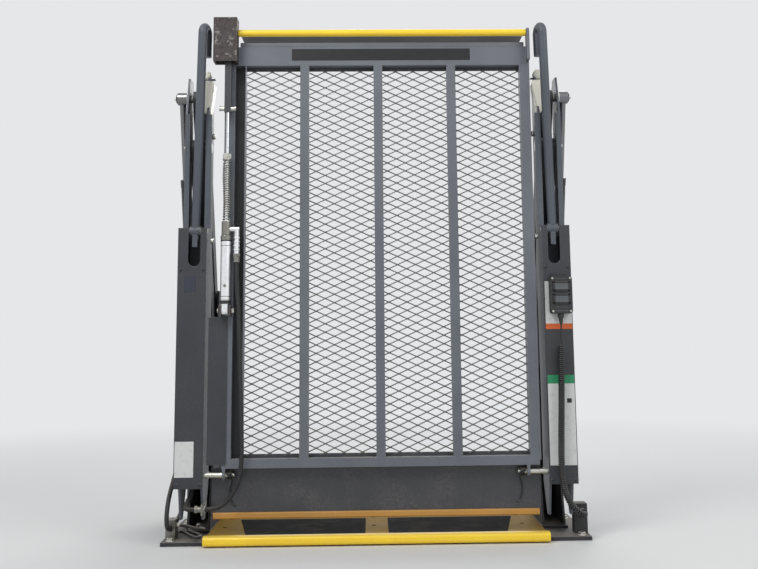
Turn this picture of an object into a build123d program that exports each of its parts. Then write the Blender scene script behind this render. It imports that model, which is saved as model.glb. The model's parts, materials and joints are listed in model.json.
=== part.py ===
from build123d import *

import os
from math import atan2, cos, degrees, hypot, radians, sin, tan

# Wheelchair lift of a school bus, stowed: two parallel arms a side carry a platform that folds upright.
# Millimetres. X runs forward along the vehicle, Y inboard and Z up. The origin is the middle of the floor
# bolts, on the floor. Names ending in _x, _y and _z are places, others are sizes. A pair's left piece is on
# the -X side.

SIDES = (("left", -1), ("right", 1))

# Clearances
pin_clearance = 0.1
running_gap = 0.3

# Floor plates
base_half_length = 578
base_thickness = 10
base_front_margin = 25
base_back_margin = 70
base_end_margin = 22
bolt_half_spacing_y = 120
bolt_hole_radius = 6.5
threshold_half_length = 461
threshold_overhang = 5
threshold_back_y = 150
threshold_thickness = 10
nosing_size = 25
nosing_radius = 9
nosing_rise = 8
grip_inner_x = 32
grip_outer_x = 350
grip_margin = 12
grip_depth = 240
grip_height = 2
grip_corner = 45

# Side channels: towers and vertical arms share their plates' places across the lift
channel_inner_x = 466
channel_width = 66
channel_plate = 6

# Parallel linkage, in the YZ plane
arm_length = 650
arm_stow_angle = 70
arm_depth = 44
arm_width = 40
arm_wall = 4
arm_solid_end = 45
upper_pivot_y = -95
upper_pivot_z = 1235
pivot_step_y = -21
pivot_step_z = -148
arm_pin_radius = 12
pin_head_radius = 17
pin_head_thickness = 3

# Towers
tower_back_margin = 48
tower_front_margin = 31
tower_top_margin = 66
tower_foot_front_y = -25
tower_knee_z = 400
foot_thickness = 8
foot_overhang = 5

# Lift cylinders
cylinder_drop = 90
cylinder_radius = 15
cylinder_wall = 3
cylinder_length = 500
cylinder_gap = 5
cylinder_pin_radius = 10
cylinder_eye_radius = 18
cylinder_eye_width = 26
cylinder_rod_radius = 9
cylinder_rod_length = 520
cylinder_cap = 25

# Vertical arms
riser_front_y = -150
riser_back_y = -65
riser_foot_z = 65
riser_foot_front_y = -128
riser_foot_back_y = -106
riser_heel_z = 150
riser_shoulder_z = 1177
riser_top_z = 1290
riser_top_half_width = 20
riser_web_top_z = 830
lip_thickness = 5
lip_inner_start = 9
lip_inner_width = 17
lip_outer_width = 14
cover_thickness = 3
cover_outer_x = 545
cover_bottom_z = 149
cover_top_z = 853
cover_return = 28
slot_width = 34
slot_height = 107
slot_x = 500
guide_top_z = 1263
guide_bottom_z = 1177
guide_top_width = 13
guide_bottom_width = 4
guide_depth = 30

# Handrails
rail_radius = 12.5
rail_wall = 2.5
rail_pivot_y = -138
rail_pivot_z = 845
rail_tail = 45
rail_length = 592
rail_lean_out = 5
rail_lean_in = 2
rail_hook_radius = 19
rail_hook_leg = 62
rail_hook_turn = 12
rail_pin_radius = 6
rail_boss_radius = 14
rail_boss_width = 30
rail_tang_width = 14
rail_tang_depth = 20

# Platform deck, upright. Its middle bar stands right of the lift's middle to leave the barrier cylinder room
deck_shift = 12.5
bar_size = 25
bar_wall = 2.5
bar_count = 5
bar_pitch = 209
deck_front_y = -148
deck_bottom_z = 200
bar_top_z = 1318
end_beam_height = 55
end_beam_depth = 30
end_beam_wall = 3
mesh_thickness = 3
mesh_strand = 6
mesh_pitch_x = 101.6
mesh_pitch_z = 46.8
mesh_rim = 10
guard_thickness = 4
guard_height = 75
guard_bottom_gap = 13
hose_channel_width = 31
hose_channel_wall = 3
fold_pivot_y = -135
fold_pivot_z = 182
fold_pin_radius = 7.5
fold_pin_inner_x = 406
fold_lug_thickness = 8
fold_lug_radius = 14
edge_cover_outer_x = 458
edge_cover_width = 52
edge_cover_bottom_z = 210
edge_cover_top_z = 606
edge_cover_thickness = 3

# Bridge plate
bridge_half_length = 448
bridge_thickness = 5
bridge_bottom_z = 65
bridge_hinge_y = -112
bridge_hinge_z = 207
bridge_knuckle_radius = 7
bridge_pin_radius = 3
bridge_knuckle_length = 60
bridge_knuckle_spacing = 180
bridge_knuckle_pairs = 4
leaf_end_gap = 5
bridge_edge_height = 17
bridge_edge_thickness = 8
bridge_edge_half_length = 442

# Outer barrier and its cylinder
barrier_hinge_y = -160
barrier_hinge_z = 1410
barrier_tube_radius = 10
barrier_tube_left_x = -384
barrier_tube_right_x = 437
barrier_pin_radius = 5
barrier_plate_depth = 160
barrier_plate_thickness = 4
barrier_lip = 18
barrier_end_gap = 4
barrier_lug_thickness = 8
barrier_lug_radius = 14
barrier_lug_seat = 45
block_width = 66
block_depth = 42
block_bottom_z = 1321
block_top_z = 1448
block_wall = 5
ram_x = -410
ram_y = -170
ram_radius = 14
ram_bottom_z = 640
ram_top_z = 828
ram_neck_radius = 10
ram_neck_top_z = 870
ram_bore_radius = 11
ram_rod_radius = 5
ram_rod_bottom_z = 700
ram_pin_z = 1187
ram_wall = 12
ram_stroke = 40
ram_foot_z = 622
ram_foot_radius = 12
ram_foot_width = 16
ram_foot_pin_radius = 5
ram_cheek_gap = 1
ram_cheek_width = 7
ram_cheek_half_height = 14
spring_radius = 11
spring_wall = 3
nut_bottom_z = 1042
nut_height = 16
nut_radius = 10
fork_width = 18
fork_depth = 12
fork_top_z = 1380
fork_eye = 5
fork_pin_radius = 6
fork_pin_length = 42

# Hoses and their fittings. A route's last point is where the hose meets its fitting
hose_radius = 6
elbow_radius = 7
elbow_z = 846
platform_hose_route = [
    (-381, -170, 776), (-381, -170, 711), (-379, -169.5, 626), (-378, -170, 541), (-376, -169, 456),
    (-374, -168.5, 376), (-371, -169, 301), (-368, -170, 240), (-369, -170, 191), (-379, -169, 149),
    (-401, -167, 114), (-429, -165, 98), (-455.5, -165, 98),
]
arm_hose_route = [
    (-484, -165, 98), (-500, -165, 98), (-512, -154, 99), (-513, -133, 106), (-505, -118, 122),
    (-500, -112, 148), (-499, -108, 185), (-499, -107, 230), (-499, -107.5, 290),
]
anchor_thickness = 5
anchor_front_y = -176
anchor_back_y = -118
anchor_half_height = 14
fitting_radius = 8
manifold_width = 26
manifold_height = 50
valve_block_depth = 38
valve_block_width = 26
valve_block_height = 50
valve_block_inset = 32
valve_block_drop = 104

# Pump
pump_left_x = -572
pump_width = 130
pump_depth = 160
pump_bottom_z = 40
pump_height = 400
pump_corner = 12

# Pendant and its curly cord
pendant_x = 510
pendant_width = 60
pendant_bottom_z = 606
pendant_height = 102
pendant_depth = 26
pendant_corner = 8
holder_width = 44
holder_thickness = 6
switch_width = 40
switch_height = 28
switch_pitch = 38
switch_depth = 6
lead_radius = 3
curl_radius = 9.5
gland_radius = 12
gland_length = 30
gland_nose_radius = 9
gland_nose_length = 6
lead_route = [(508.5, -172.25, 606), (508.5, -172.25, 566), (507, -173, 524)]
curl_route = [
    (507, -173, 524), (504, -174.5, 440), (501, -175, 350), (497, -175.5, 262),
    (495, -177, 190), (500, -178, 138), (518, -176, 96), (545, -169, 72), (560, -151, 66), (560, -128, 66),
]

# Box on the base that the curly cord goes into
cord_box_width = 35
cord_box_depth = 38
cord_box_height = 78

# Worked-out places
base_front_y = -bolt_half_spacing_y - base_front_margin
base_back_y = bolt_half_spacing_y + base_back_margin
bolt_half_spacing_x = base_half_length - base_end_margin
channel_outer_x = channel_inner_x + channel_width
channel_middle_x = channel_inner_x + channel_width / 2
stow = radians(arm_stow_angle)
upper_riser_pivot = (upper_pivot_y, upper_pivot_z)
upper_tower_pivot = (upper_pivot_y + arm_length * cos(stow), upper_pivot_z - arm_length * sin(stow))
lower_riser_pivot = (upper_riser_pivot[0] + pivot_step_y, upper_riser_pivot[1] + pivot_step_z)
lower_tower_pivot = (upper_tower_pivot[0] + pivot_step_y, upper_tower_pivot[1] + pivot_step_z)
cylinder_pivot = (upper_tower_pivot[0], upper_tower_pivot[1] - cylinder_drop)
tower_back_y = upper_tower_pivot[0] + tower_back_margin
tower_front_y = lower_tower_pivot[0] - tower_front_margin
tower_height = upper_tower_pivot[1] + tower_top_margin
cylinder_x = channel_outer_x + cylinder_gap + cylinder_radius
threshold_front_y = base_front_y - threshold_overhang
threshold_top_z = base_thickness + threshold_thickness
deck_left_x = deck_shift - (bar_count - 1) / 2 * bar_pitch - bar_size / 2
deck_right_x = deck_shift + (bar_count - 1) / 2 * bar_pitch + bar_size / 2
deck_back_y = deck_front_y + bar_size
end_beam_top_z = bar_top_z + end_beam_height
cover_front_y = riser_front_y - cover_thickness
spring_bottom_z = ram_neck_top_z + ram_stroke + 2

# The base's hoses end at the pump's face and under the valve block, so they follow the tower
valve_y = tower_back_y - valve_block_inset
valve_z = cylinder_pivot[1] - valve_block_drop
pump_hose_route = [
    (-562, tower_back_y, 70), (-562, tower_back_y - 37, 70), (-563, 66, 58), (-561, -18, 40), (-561, -60, 40),
]
tower_hose_route = [
    (-560, -110, 40), (-560, -128, 40), (-562, -143, 54), (-563, -141, 84), (-563, -118, 122),
    (-561, -70, 162), (-558, -5, 214), (-556, 62, 280),
    (-550, valve_y - 23, valve_z - 90), (-545, valve_y, valve_z - 38), (-545, valve_y, valve_z),
]


def span(sign, near, far):
    """The two x values of a piece between near and far from the middle, on one side."""
    return tuple(sorted((sign * near, sign * far)))


def block(x, y, z):
    """A box between two x, two y and two z values."""
    sizes = [high - low for low, high in (x, y, z)]
    middle = [(high + low) / 2 for low, high in (x, y, z)]
    return Pos(*middle) * Box(*sizes)


def rod_x(x, y, z, radius):
    """A round bar along X."""
    return Pos((x[0] + x[1]) / 2, y, z) * Rot(0, 90, 0) * Cylinder(radius, x[1] - x[0])


def rod_y(x, y, z, radius):
    """A round bar along Y."""
    return Pos(x, (y[0] + y[1]) / 2, z) * Rot(90, 0, 0) * Cylinder(radius, y[1] - y[0])


def rod_z(x, y, z, radius):
    """A round bar along Z."""
    return Pos(x, y, (z[0] + z[1]) / 2) * Cylinder(radius, z[1] - z[0])


def rod_between(x, start, end, radius):
    """A round bar in the YZ plane at x, between two (y, z) points."""
    run = (end[0] - start[0], end[1] - start[1])
    lean = degrees(atan2(-run[0], run[1]))
    middle = ((start[0] + end[0]) / 2, (start[1] + end[1]) / 2)
    return Pos(x, *middle) * Rot(lean, 0, 0) * Cylinder(radius, hypot(*run))


def plate_x(x, outline):
    """A plate across X between two x values, from its (y, z) outline."""
    face = make_face(Polyline(*outline, close=True))
    return extrude(Plane.YZ.offset(x[0]) * face, amount=x[1] - x[0])


def save(name, *solids):
    """Writes one node's solids."""
    shape = solids[0] if len(solids) == 1 else Compound(children=list(solids))
    export_step(shape, f"parts/{name}.step")


def headed_pin(sign, near, far, pivot, radius):
    """A pin through a channel's two plates, with a head outside each."""
    y, z = pivot
    pin = rod_x(span(sign, near, far), y, z, radius)
    pin += rod_x(span(sign, near - pin_head_thickness, near), y, z, pin_head_radius)
    pin += rod_x(span(sign, far, far + pin_head_thickness), y, z, pin_head_radius)
    return pin


def floor_plates():
    """Base plate, threshold plate, its nosing and its two grip panels."""
    base = block((-base_half_length, base_half_length), (base_front_y, base_back_y), (0, base_thickness))
    for sign_x in (-1, 1):
        for sign_y in (-1, 1):
            base -= rod_z(sign_x * bolt_half_spacing_x, sign_y * bolt_half_spacing_y, (0, base_thickness),
                          bolt_hole_radius)
    save("base_plate", base)

    length = (-threshold_half_length, threshold_half_length)
    plate = block(length, (threshold_front_y, threshold_back_y), (base_thickness, threshold_top_z))
    save("threshold_plate", plate)

    top_z = threshold_top_z + nosing_rise
    nosing = block(length, (threshold_front_y - nosing_size, threshold_front_y), (top_z - nosing_size, top_z))
    nosing = fillet(nosing.edges().filter_by(Axis.X).group_by(Axis.Y)[0], nosing_radius)
    save("threshold_nosing", nosing)

    grips = []
    for sign in (-1, 1):
        y0 = threshold_front_y + grip_margin
        y1 = y0 + grip_depth
        corners = [(grip_inner_x, y0), (grip_outer_x, y0),
                   (grip_outer_x + grip_corner, y1), (grip_inner_x, y1)]
        outline = Polyline(*[(sign * x, y) for x, y in corners], close=True)
        grips.append(extrude(Plane.XY.offset(threshold_top_z) * make_face(outline), amount=grip_height))
    save("threshold_grips", *grips)


def towers():
    """The two posts on the base that carry the parallel arms and the lift cylinders."""
    foot_z = base_thickness + foot_thickness
    outline = [(tower_foot_front_y, foot_z), (tower_back_y, foot_z), (tower_back_y, tower_height),
               (tower_front_y, tower_height), (tower_front_y, tower_knee_z)]
    for side, sign in SIDES:
        foot_x = span(sign, threshold_half_length + pin_clearance * 10, channel_outer_x + foot_overhang)
        foot_y = (tower_foot_front_y - foot_overhang, tower_back_y + foot_overhang)
        tower = block(foot_x, foot_y, (base_thickness, foot_z))
        for near in (channel_inner_x, channel_outer_x - channel_plate):
            tower += plate_x(span(sign, near, near + channel_plate), outline)
        tower += block(span(sign, channel_inner_x, channel_outer_x),
                       (tower_back_y - channel_plate, tower_back_y), (foot_z, tower_height))
        for pivot, radius in ((upper_tower_pivot, arm_pin_radius), (lower_tower_pivot, arm_pin_radius),
                              (cylinder_pivot, cylinder_pin_radius)):
            tower -= rod_x(span(sign, channel_inner_x, channel_outer_x), *pivot, radius)
        save(f"tower_{side}", tower)

    pins = []
    for side, sign in SIDES:
        pins.append(headed_pin(sign, channel_inner_x, channel_outer_x, upper_tower_pivot, arm_pin_radius))
        pins.append(headed_pin(sign, channel_inner_x, channel_outer_x, lower_tower_pivot, arm_pin_radius))
        end_x = cylinder_x + cylinder_eye_width / 2 + 2
        y, z = cylinder_pivot
        pin = rod_x(span(sign, channel_outer_x - channel_plate, end_x), y, z, cylinder_pin_radius)
        pin += rod_x(span(sign, end_x, end_x + pin_head_thickness), y, z, cylinder_pin_radius + 4)
        pins.append(pin)
    save("tower_pins", *pins)


def arm_beam(sign, start, end):
    """One parallel arm: a tube with rounded ends, bored for its pins."""
    near = channel_middle_x - arm_width / 2
    middle = ((start[0] + end[0]) / 2, (start[1] + end[1]) / 2)
    angle = degrees(atan2(end[1] - start[1], end[0] - start[0]))
    x = span(sign, near, near + arm_width)
    place = Pos(*middle) * Rot(0, 0, angle)
    section = Plane.YZ.offset(x[0]) * place * SlotCenterToCenter(arm_length, arm_depth)
    beam = extrude(section, amount=arm_width)
    hollow = Rectangle(arm_length - 2 * arm_solid_end, arm_depth - 2 * arm_wall)
    beam -= extrude(Plane.YZ.offset(x[0] + arm_wall) * place * hollow, amount=arm_width - 2 * arm_wall)
    for y, z in (start, end):
        beam -= rod_x(x, y, z, arm_pin_radius + pin_clearance)
    return beam


def parallel_arms():
    """Upper and lower arms of each side."""
    for side, sign in SIDES:
        save(f"upper_arm_{side}", arm_beam(sign, upper_tower_pivot, upper_riser_pivot))
        save(f"lower_arm_{side}", arm_beam(sign, lower_tower_pivot, lower_riser_pivot))


def lift_cylinders():
    """Barrel from the tower's pin and rod up to an eye beside the upper arm's outer pivot."""
    run = (upper_riser_pivot[0] - cylinder_pivot[0], upper_riser_pivot[1] - cylinder_pivot[1])
    reach = hypot(*run)

    def along(distance):
        return (cylinder_pivot[0] + run[0] * distance / reach, cylinder_pivot[1] + run[1] * distance / reach)

    for side, sign in SIDES:
        x = sign * cylinder_x
        eye_x = (x - cylinder_eye_width / 2, x + cylinder_eye_width / 2)
        bore_end = cylinder_length - cylinder_cap
        barrel = rod_between(x, cylinder_pivot, along(cylinder_length), cylinder_radius)
        barrel += rod_x(eye_x, *cylinder_pivot, cylinder_eye_radius)
        barrel -= rod_between(x, along(cylinder_eye_radius + cylinder_cap), along(bore_end),
                              cylinder_radius - cylinder_wall)
        barrel -= rod_between(x, along(bore_end - 1), along(cylinder_length + 1),
                              cylinder_rod_radius + pin_clearance)
        barrel -= rod_x((x - cylinder_radius, x + cylinder_radius), *cylinder_pivot,
                        cylinder_pin_radius + pin_clearance)
        save(f"lift_cylinder_{side}", barrel)

        rod = rod_between(x, along(reach - cylinder_rod_length), along(reach), cylinder_rod_radius)
        rod += rod_x(eye_x, *upper_riser_pivot, cylinder_eye_radius)
        save(f"lift_rod_{side}", rod)


def vertical_arms():
    """The two channels that hang from the arms and carry the platform, with covers, pins and guides."""
    back, front = riser_back_y, riser_front_y
    top_front_y = upper_pivot_y - riser_top_half_width
    top_back_y = upper_pivot_y + riser_top_half_width
    outline = [(front, cover_bottom_z), (riser_foot_front_y, riser_foot_z), (riser_foot_back_y, riser_foot_z),
               (back, riser_heel_z), (back, riser_top_z - riser_top_half_width), (top_back_y, riser_top_z),
               (top_front_y, riser_top_z), (front, riser_shoulder_z)]
    for side, sign in SIDES:
        arm = block(span(sign, channel_inner_x, channel_outer_x), (back - channel_plate, back),
                    (riser_heel_z, riser_web_top_z))
        for near in (channel_inner_x, channel_outer_x - channel_plate):
            arm += plate_x(span(sign, near, near + channel_plate), outline)
        lip_start = channel_inner_x - lip_inner_start
        for near, far in ((lip_start, lip_start + lip_inner_width),
                          (channel_outer_x - lip_outer_width, channel_outer_x)):
            arm += block(span(sign, near, far), (front, front + lip_thickness),
                         (cover_top_z, riser_shoulder_z))
        for (y, z), radius in ((upper_riser_pivot, arm_pin_radius), (lower_riser_pivot, arm_pin_radius),
                               ((rail_pivot_y, rail_pivot_z), rail_pin_radius)):
            arm -= rod_x(span(sign, channel_inner_x, channel_outer_x), y, z, radius)
        inner_plate = span(sign, channel_inner_x, channel_inner_x + channel_plate)
        arm -= rod_x(inner_plate, fold_pivot_y, fold_pivot_z, fold_pin_radius)
        save(f"vertical_arm_{side}", arm)

        cover_z = (cover_bottom_z, cover_top_z)
        cover = block(span(sign, channel_inner_x, cover_outer_x), (cover_front_y, front), cover_z)
        cover += block(span(sign, cover_outer_x - cover_thickness, cover_outer_x),
                       (front, front + cover_return), cover_z)
        slot_radius = slot_width / 2
        slot_z = cover_top_z - slot_height + slot_radius
        slot = block(span(sign, slot_x - slot_radius, slot_x + slot_radius), (cover_front_y, front),
                     (slot_z, cover_top_z))
        slot += Pos(sign * slot_x, (cover_front_y + front) / 2, slot_z) * Rot(90, 0, 0) * Cylinder(
            slot_radius, cover_thickness)
        save(f"arm_cover_{side}", cover - slot)

    pins = []
    guides = []
    for side, sign in SIDES:
        for pivot in (upper_riser_pivot, lower_riser_pivot):
            pins.append(headed_pin(sign, channel_inner_x, channel_outer_x, pivot, arm_pin_radius))
        pins.append(rod_x(span(sign, channel_inner_x, channel_outer_x), rail_pivot_y, rail_pivot_z,
                          rail_pin_radius))
        pins.append(rod_x(span(sign, fold_pin_inner_x, channel_inner_x + channel_plate),
                          fold_pivot_y, fold_pivot_z, fold_pin_radius))
        corners = [(channel_inner_x, guide_bottom_z), (channel_inner_x - guide_bottom_width, guide_bottom_z),
                   (channel_inner_x - guide_top_width, guide_top_z), (channel_inner_x, guide_top_z)]
        wedge = make_face(Polyline(*[(sign * x, z) for x, z in corners], close=True))
        guide_back_y = upper_pivot_y - pin_head_radius - 1
        guides.append(extrude(Plane.XZ.offset(-guide_back_y) * wedge, amount=guide_depth))
    save("arm_pins", *pins)
    save("stow_guides", *guides)


def handrails():
    """A tube a side, standing in the slot of its vertical arm, hooked back inboard at its top."""
    out = tan(radians(rail_lean_out))
    toe = tan(radians(rail_lean_in))
    turn = radians(rail_hook_turn)
    straight = rail_length - rail_radius - rail_hook_radius
    for side, sign in SIDES:
        pivot = Vector(sign * slot_x, rail_pivot_y, rail_pivot_z)
        upward = Vector(-sign * toe, -out, 1).normalized()
        inboard = Vector(-sign * sin(turn), cos(turn), 0)
        inboard = (inboard - upward * inboard.dot(upward)).normalized()
        bend_start = pivot + upward * straight
        bend_top = bend_start + (inboard + upward) * rail_hook_radius
        bend_end = bend_start + inboard * rail_hook_radius * 2
        tubes = []
        for wall in (0, rail_wall):
            path = Wire([Edge.make_line(pivot, bend_start),
                         Edge.make_three_point_arc(bend_start, bend_top, bend_end),
                         Edge.make_line(bend_end, bend_end - upward * (rail_hook_leg - wall))])
            tubes.append(sweep(Plane(origin=pivot, z_dir=upward) * Circle(rail_radius - wall), path=path))
        rail = tubes[0] - tubes[1]
        boss_x = (pivot.X - rail_boss_width / 2, pivot.X + rail_boss_width / 2)
        rail += rod_x(boss_x, rail_pivot_y, rail_pivot_z, rail_boss_radius)
        rail += block((pivot.X - rail_tang_width / 2, pivot.X + rail_tang_width / 2),
                      (rail_pivot_y - rail_tang_depth / 2, rail_pivot_y + rail_tang_depth / 2),
                      (rail_pivot_z - rail_tail, rail_pivot_z))
        rail -= rod_x(boss_x, rail_pivot_y, rail_pivot_z, rail_pin_radius + pin_clearance)
        save(f"handrail_{side}", rail)


def mesh_openings():
    """The wires of the deck's diamond openings, in the sheet's own XZ plane."""
    width = deck_right_x - deck_left_x - 2 * mesh_rim
    bottom_z = deck_bottom_z + bar_size
    height = bar_top_z - bottom_z - 2 * mesh_rim
    columns = int(width / mesh_pitch_x)
    rows = int(height / mesh_pitch_z)
    half_x = (mesh_pitch_x - mesh_strand * 2) / 2
    half_z = (mesh_pitch_z - mesh_strand) / 2
    middle_x = (deck_left_x + deck_right_x) / 2
    middle_z = (bar_top_z + bottom_z) / 2
    wires = []
    for row in range(2 * rows - 1):
        count = columns - row % 2
        z = middle_z + (row - rows + 1) * mesh_pitch_z / 2
        for column in range(count):
            x = middle_x + (column - (count - 1) / 2) * mesh_pitch_x
            corners = [(x - half_x, z), (x, z - half_z), (x + half_x, z), (x, z + half_z)]
            wires.append(Wire(Polyline(*[(cx, deck_back_y, cz) for cx, cz in corners], close=True).edges()))
    return wires


def platform():
    """Frame of square tubes, expanded metal deck, end beam, guards, covers and the pivot lugs."""
    first_x = deck_shift - (bar_count - 1) / 2 * bar_pitch
    frame = block((deck_left_x, deck_right_x), (deck_front_y, deck_back_y),
                  (deck_bottom_z, deck_bottom_z + bar_size))
    inner_y = (deck_front_y + bar_wall, deck_back_y - bar_wall)
    voids = [block((deck_left_x + bar_wall, deck_right_x - bar_wall), inner_y,
                   (deck_bottom_z + bar_wall, deck_bottom_z + bar_size - bar_wall))]
    for index in range(bar_count):
        x = first_x + index * bar_pitch
        frame += block((x - bar_size / 2, x + bar_size / 2), (deck_front_y, deck_back_y),
                       (deck_bottom_z + bar_size, bar_top_z))
        inner = bar_size / 2 - bar_wall
        voids.append(block((x - inner, x + inner), inner_y, (deck_bottom_z + bar_size, bar_top_z)))
    for void in voids:
        frame -= void
    channel_x = (deck_left_x + bar_size, deck_left_x + bar_size + hose_channel_width)
    channel_z = (deck_bottom_z + bar_size, bar_top_z)
    frame += block(channel_x, (deck_back_y - hose_channel_wall, deck_back_y), channel_z)
    frame += block((channel_x[1] - hose_channel_wall, channel_x[1]), (deck_front_y, deck_back_y), channel_z)
    for side, sign in SIDES:
        x = span(sign, fold_pin_inner_x + 2, fold_pin_inner_x + 2 + fold_lug_thickness)
        lug = rod_x(x, fold_pivot_y, fold_pivot_z, fold_lug_radius)
        lug += block(x, (fold_pivot_y - fold_lug_radius + 1, deck_back_y - 1), (fold_pivot_z, deck_bottom_z))
        frame += lug - rod_x(x, fold_pivot_y, fold_pivot_z, fold_pin_radius + pin_clearance)
    save("platform_frame", frame)

    sheet_z = deck_bottom_z + bar_size
    border = Wire(Polyline((deck_left_x, deck_back_y, sheet_z), (deck_right_x, deck_back_y, sheet_z),
                           (deck_right_x, deck_back_y, bar_top_z), (deck_left_x, deck_back_y, bar_top_z),
                           close=True).edges())
    sheet = Face(border, mesh_openings())
    save("platform_mesh", extrude(sheet, amount=mesh_thickness, dir=(0, 1, 0)))

    beam = block((deck_left_x, deck_right_x), (deck_front_y, deck_front_y + end_beam_depth),
                 (bar_top_z, end_beam_top_z))
    beam -= block((deck_left_x, deck_right_x),
                  (deck_front_y + end_beam_wall, deck_front_y + end_beam_depth - end_beam_wall),
                  (bar_top_z + end_beam_wall, end_beam_top_z - end_beam_wall))
    lug_x = (barrier_tube_right_x + 1, barrier_tube_right_x + 1 + barrier_lug_thickness)
    beam += rod_x(lug_x, barrier_hinge_y, barrier_hinge_z, barrier_lug_radius)
    beam += block(lug_x, (barrier_hinge_y - barrier_lug_radius, deck_front_y),
                  (end_beam_top_z - barrier_lug_seat, barrier_hinge_z))
    beam -= rod_x(lug_x, barrier_hinge_y, barrier_hinge_z, barrier_pin_radius + pin_clearance)
    save("end_beam", beam)

    for name, x in (("side_guard_left", (deck_left_x - guard_thickness, deck_left_x)),
                    ("side_guard_right", (deck_right_x, deck_right_x + guard_thickness))):
        save(name, block(x, (deck_front_y, deck_front_y + guard_height),
                         (deck_bottom_z + guard_bottom_gap, end_beam_top_z)))

    save("edge_cover", block((-edge_cover_outer_x, edge_cover_width - edge_cover_outer_x),
                             (deck_front_y - edge_cover_thickness, deck_front_y),
                             (edge_cover_bottom_z, edge_cover_top_z)))

    leaf_y = bridge_hinge_y - bridge_knuckle_radius - running_gap
    leaf = block((deck_left_x + leaf_end_gap, deck_right_x - leaf_end_gap), (deck_back_y, leaf_y),
                 (deck_bottom_z, deck_bottom_z + bar_size))
    for x in knuckle_places(0):
        knuckle = rod_x(x, bridge_hinge_y, bridge_hinge_z, bridge_knuckle_radius)
        knuckle += block(x, (leaf_y - 1, bridge_hinge_y),
                         (bridge_hinge_z, bridge_hinge_z + bridge_knuckle_radius))
        leaf += knuckle - rod_x(x, bridge_hinge_y, bridge_hinge_z, bridge_pin_radius)
    pin_x = (knuckle_places(0)[0][0], knuckle_places(1)[-1][1])
    save("bridge_hinge", leaf, rod_x(pin_x, bridge_hinge_y, bridge_hinge_z, bridge_pin_radius))


def knuckle_places(turn):
    """The x spans of the bridge hinge's knuckles: turn 0 is the platform's, 1 the bridge plate's."""
    places = []
    for index in range(bridge_knuckle_pairs):
        middle = (index - (bridge_knuckle_pairs - 1) / 2) * bridge_knuckle_spacing
        start = middle + (turn - 1) * bridge_knuckle_length + (running_gap if turn else -running_gap)
        places.append((start, start + bridge_knuckle_length))
    return places


def bridge():
    """The plate that hangs below the deck and bridges the gap to the threshold, with its yellow edge."""
    front_y = bridge_hinge_y - bridge_knuckle_radius
    plate = block((-bridge_half_length, bridge_half_length), (front_y, front_y + bridge_thickness),
                  (bridge_bottom_z, bridge_hinge_z - bridge_knuckle_radius - 1))
    for x in knuckle_places(1):
        tab = rod_x(x, bridge_hinge_y, bridge_hinge_z, bridge_knuckle_radius)
        tab += block(x, (front_y, front_y + bridge_thickness),
                     (bridge_hinge_z - bridge_knuckle_radius - 1, bridge_hinge_z))
        plate += tab - rod_x(x, bridge_hinge_y, bridge_hinge_z, bridge_pin_radius + pin_clearance)
    save("bridge_plate", plate)
    edge = block((-bridge_edge_half_length, bridge_edge_half_length),
                 (front_y - bridge_edge_thickness, front_y),
                 (bridge_bottom_z, bridge_bottom_z + bridge_edge_height))
    edge = fillet(edge.edges().filter_by(Axis.X).group_by(Axis.Y)[0], bridge_edge_thickness / 2)
    save("bridge_edge", edge)


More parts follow.
